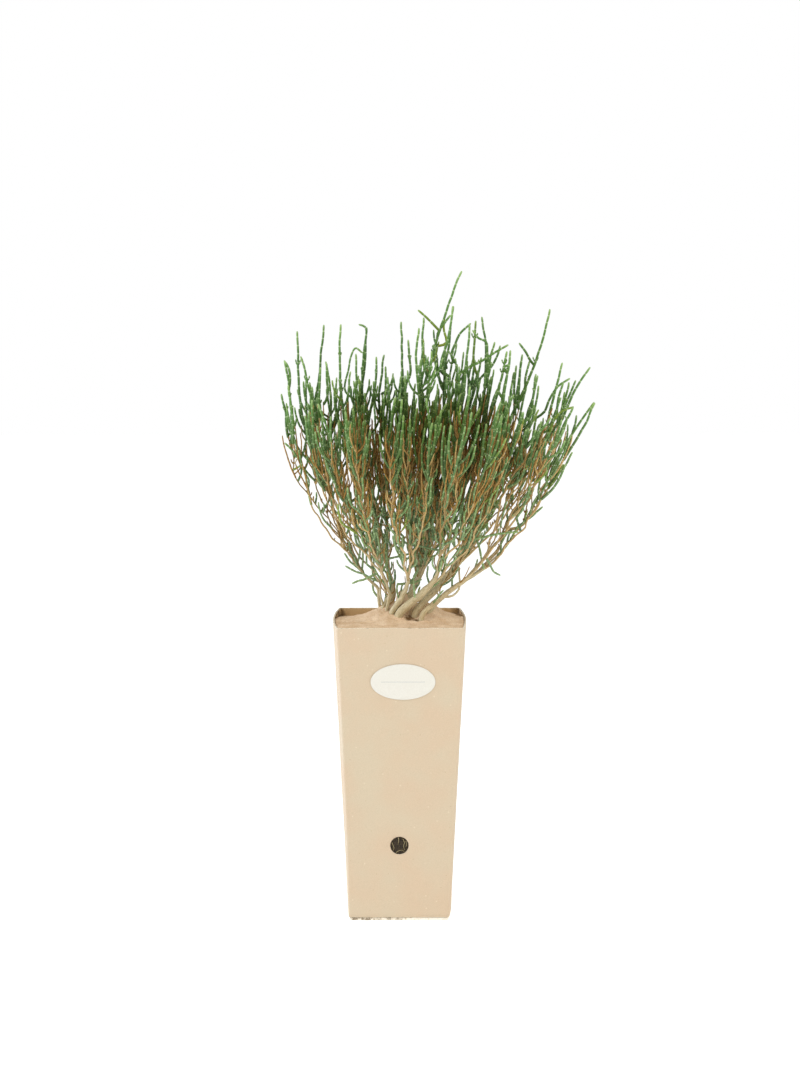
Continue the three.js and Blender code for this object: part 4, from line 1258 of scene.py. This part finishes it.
def makeDrainSoil():  # the rough face of the root ball behind the hole, with its roots
    look = drainSoil
    soil = patternMaterial(soilLook)
    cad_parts["root_ball"].data.materials.clear()
    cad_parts["root_ball"].data.materials.append(soil)
    face = -depthAt(drain["height"]) / 2 + pot["wall"]

    def placed(x, up, out):  # from the hole's middle, on the leaning inside of the panel
        return drain["across"] + x, face - panelLean * up - out, drain["height"] + up

    points = []
    for k in range(look["rings"] + 1):
        radius = (drain["radius"] + look["overlap"]) * k / look["rings"]
        for a in circle(look["spokes"]):
            x, up = radius * math.cos(a), radius * math.sin(a)
            crumb = look["crumb"] * grain(x / look["crumbSize"], up / look["crumbSize"], 4.4, 3)
            points.append(placed(x, up, crumb * smooth((drain["radius"] - radius) / 2) + look["out"]))
    patch = makeMesh("soilAtDrain", points, bands(look["rings"] + 1, look["spokes"]), [soil])
    thick = patch.modifiers.new("thick", "SOLIDIFY")
    thick.thickness, thick.offset = look["thickness"] * metre, 0
    dress(patch, "potting_mix")
    store = {"points": [], "faces": [], "count": 0}
    for root in drainRoots:
        path = [placed(x, up, look["rootOut"]) for x, up in root]
        marks = np.linspace(0, pathLength(path), look["rootSteps"])
        centres = curveAlong(path, marks)
        front = np.tile((0.0, 1.0, 0.0), (len(marks), 1))
        side = np.cross(directions(centres), front)
        radius = look["rootRadius"] * (1 - look["rootTaper"] * marks / marks[-1])
        reach = np.repeat(radius[:, None], look["rootSides"], axis=1)
        sweep(store, centres, side, front, np.array(circle(look["rootSides"])), reach)
    strands = [patternMaterial(rootLook)]
    dress(makeMesh("rootStrands", np.concatenate(store["points"]), store["faces"], strands), "potting_mix")


labelLook = {"width": 65, "height": 36.7, "across": 2.6, "centre": 250, "thickness": 0.35, "lift": 0.3,
             "lineWidth": 44, "lineThickness": 0.6, "spokes": 96}
# Label stock: calendered paper, so it is smooth, matt and off-white.
paperLook = {"name": "labelPaperCalendered", "pattern": "TexNoise", "scale": 900.0, "detail": 3.0,
             "roughness": 0.6, "stops": [(0.3, "#d2cec2"), (0.7, "#d7d4c9")], "relief": (0.1, 0.0001)}
# Grey ink: printed thin, so the paper shows through where it is worn.
inkLook = {"name": "greyInkPrinted", "pattern": "TexNoise", "scale": 2500.0, "detail": 2.0, "roughness": 0.7,
           "stops": [(0.3, "#a2a39e"), (0.7, "#cfcfc9")]}


def makeLabel():
    look = labelLook
    slant = math.atan(panelLean)

    def placed(x, up, out):  # across, up the panel, and out of it
        base = -depthAt(look["centre"]) / 2
        return (look["across"] + x, base - up * math.sin(slant) - out * math.cos(slant),
                look["centre"] + up * math.cos(slant) - out * math.sin(slant))

    low, top = look["lift"], look["lift"] + look["thickness"]
    rings = [(0.985, low), (1.0, low + 0.08), (1.0, top - 0.1)] + [(k, top) for k in (0.992, 0.8, 0.5, 0.2)]
    points = [placed(look["width"] / 2 * scale * math.cos(a), look["height"] / 2 * scale * math.sin(a), out)
              for scale, out in rings for a in circle(look["spokes"])]
    faces = bands(len(rings), look["spokes"], capped=True)
    dress(makeMesh("ovalLabel", points, faces, [patternMaterial(paperLook)]), "label_paper", "label")
    # one ruled line
    half, thin = look["lineWidth"] / 2, look["lineThickness"] / 2
    corners = [(-half, -thin), (half, -thin), (half, thin), (-half, thin)]
    bars = [placed(x, up, top + depth) for depth in (-0.05, 0.03) for x, up in corners]
    faces = bands(2, 4, capped=True)
    dress(makeMesh("labelRuledLine", bars, faces, [patternMaterial(inkLook)], rounded=False), "label_paper")


# stage, light and camera

def makeStage():
    floorMaterial, tree = newMaterial("paleFloor")
    coat(floorMaterial, "#fbfbfa", 0.9)
    glow = tree.nodes["Principled BSDF"].inputs
    glow["Emission Color"].default_value = colour("#ffffff")
    glow["Emission Strength"].default_value = 0.3
    size = 6000
    floor = makeMesh("floor", [(-size, -size, 0), (size, -size, 0), (size, size, 0), (-size, size, 0)],
                     [(0, 1, 2, 3)], [floorMaterial])
    scene = bpy.context.scene
    scene.view_settings.view_transform = "Standard"
    world = bpy.data.worlds.new("paleRoom")
    world.use_nodes = True
    background = world.node_tree.nodes["Background"]
    background.inputs[0].default_value = (1, 1, 1, 1)
    seen = addNode(world.node_tree, "LightPath").outputs["Is Camera Ray"]
    strength = addNode(world.node_tree, "MapRange", i0=seen, i3=0.75, i4=1.0)
    plug(world.node_tree, strength, background.inputs[1])
    scene.world = world


def addLight(name, place, target, size, power, tint="#ffffff"):
    light = bpy.data.lights.new(name, "AREA")
    light.size, light.energy, light.color = size, power, colour(tint)[:3]
    lamp = bpy.data.objects.new(name, light)
    lamp.location = place
    lamp.rotation_euler = (Vector(target) - Vector(place)).to_track_quat("-Z", "Y").to_euler()
    bpy.context.scene.collection.objects.link(lamp)


cameraView = {"azimuth": -0.34, "distance": 2200, "height": 673, "pitch": 7.28, "lens": 73.3}


def addCamera():
    turn = math.radians(cameraView["azimuth"])
    data = bpy.data.cameras.new("camera")
    data.sensor_width, data.lens = 36, cameraView["lens"]
    camera = bpy.data.objects.new("camera", data)
    camera.location = (math.sin(turn) * cameraView["distance"] * metre,
                       -math.cos(turn) * cameraView["distance"] * metre, cameraView["height"] * metre)
    camera.rotation_euler = (math.radians(90 - cameraView["pitch"]), 0, turn)
    bpy.context.scene.collection.objects.link(camera)
    bpy.context.scene.camera = camera


makeSleeve()
makeSand()
makeBoard()
makeDrainSoil()
makeLabel()
print("pot, sand and label made")
makeStems()
makeStage()
addLight("keyFromLeft", (-1.7, -1.4, 2.4), (0, 0, 0.4), 1.4, 28)
addLight("edgeFromLeft", (-2.4, 0.2, 0.7), (0, 0, 0.3), 1.2, 35, "#cfe0ff")
addLight("fillFromRight", (1.9, -1.2, 1.7), (0, 0, 0.3), 1.6, 25)
addCamera()
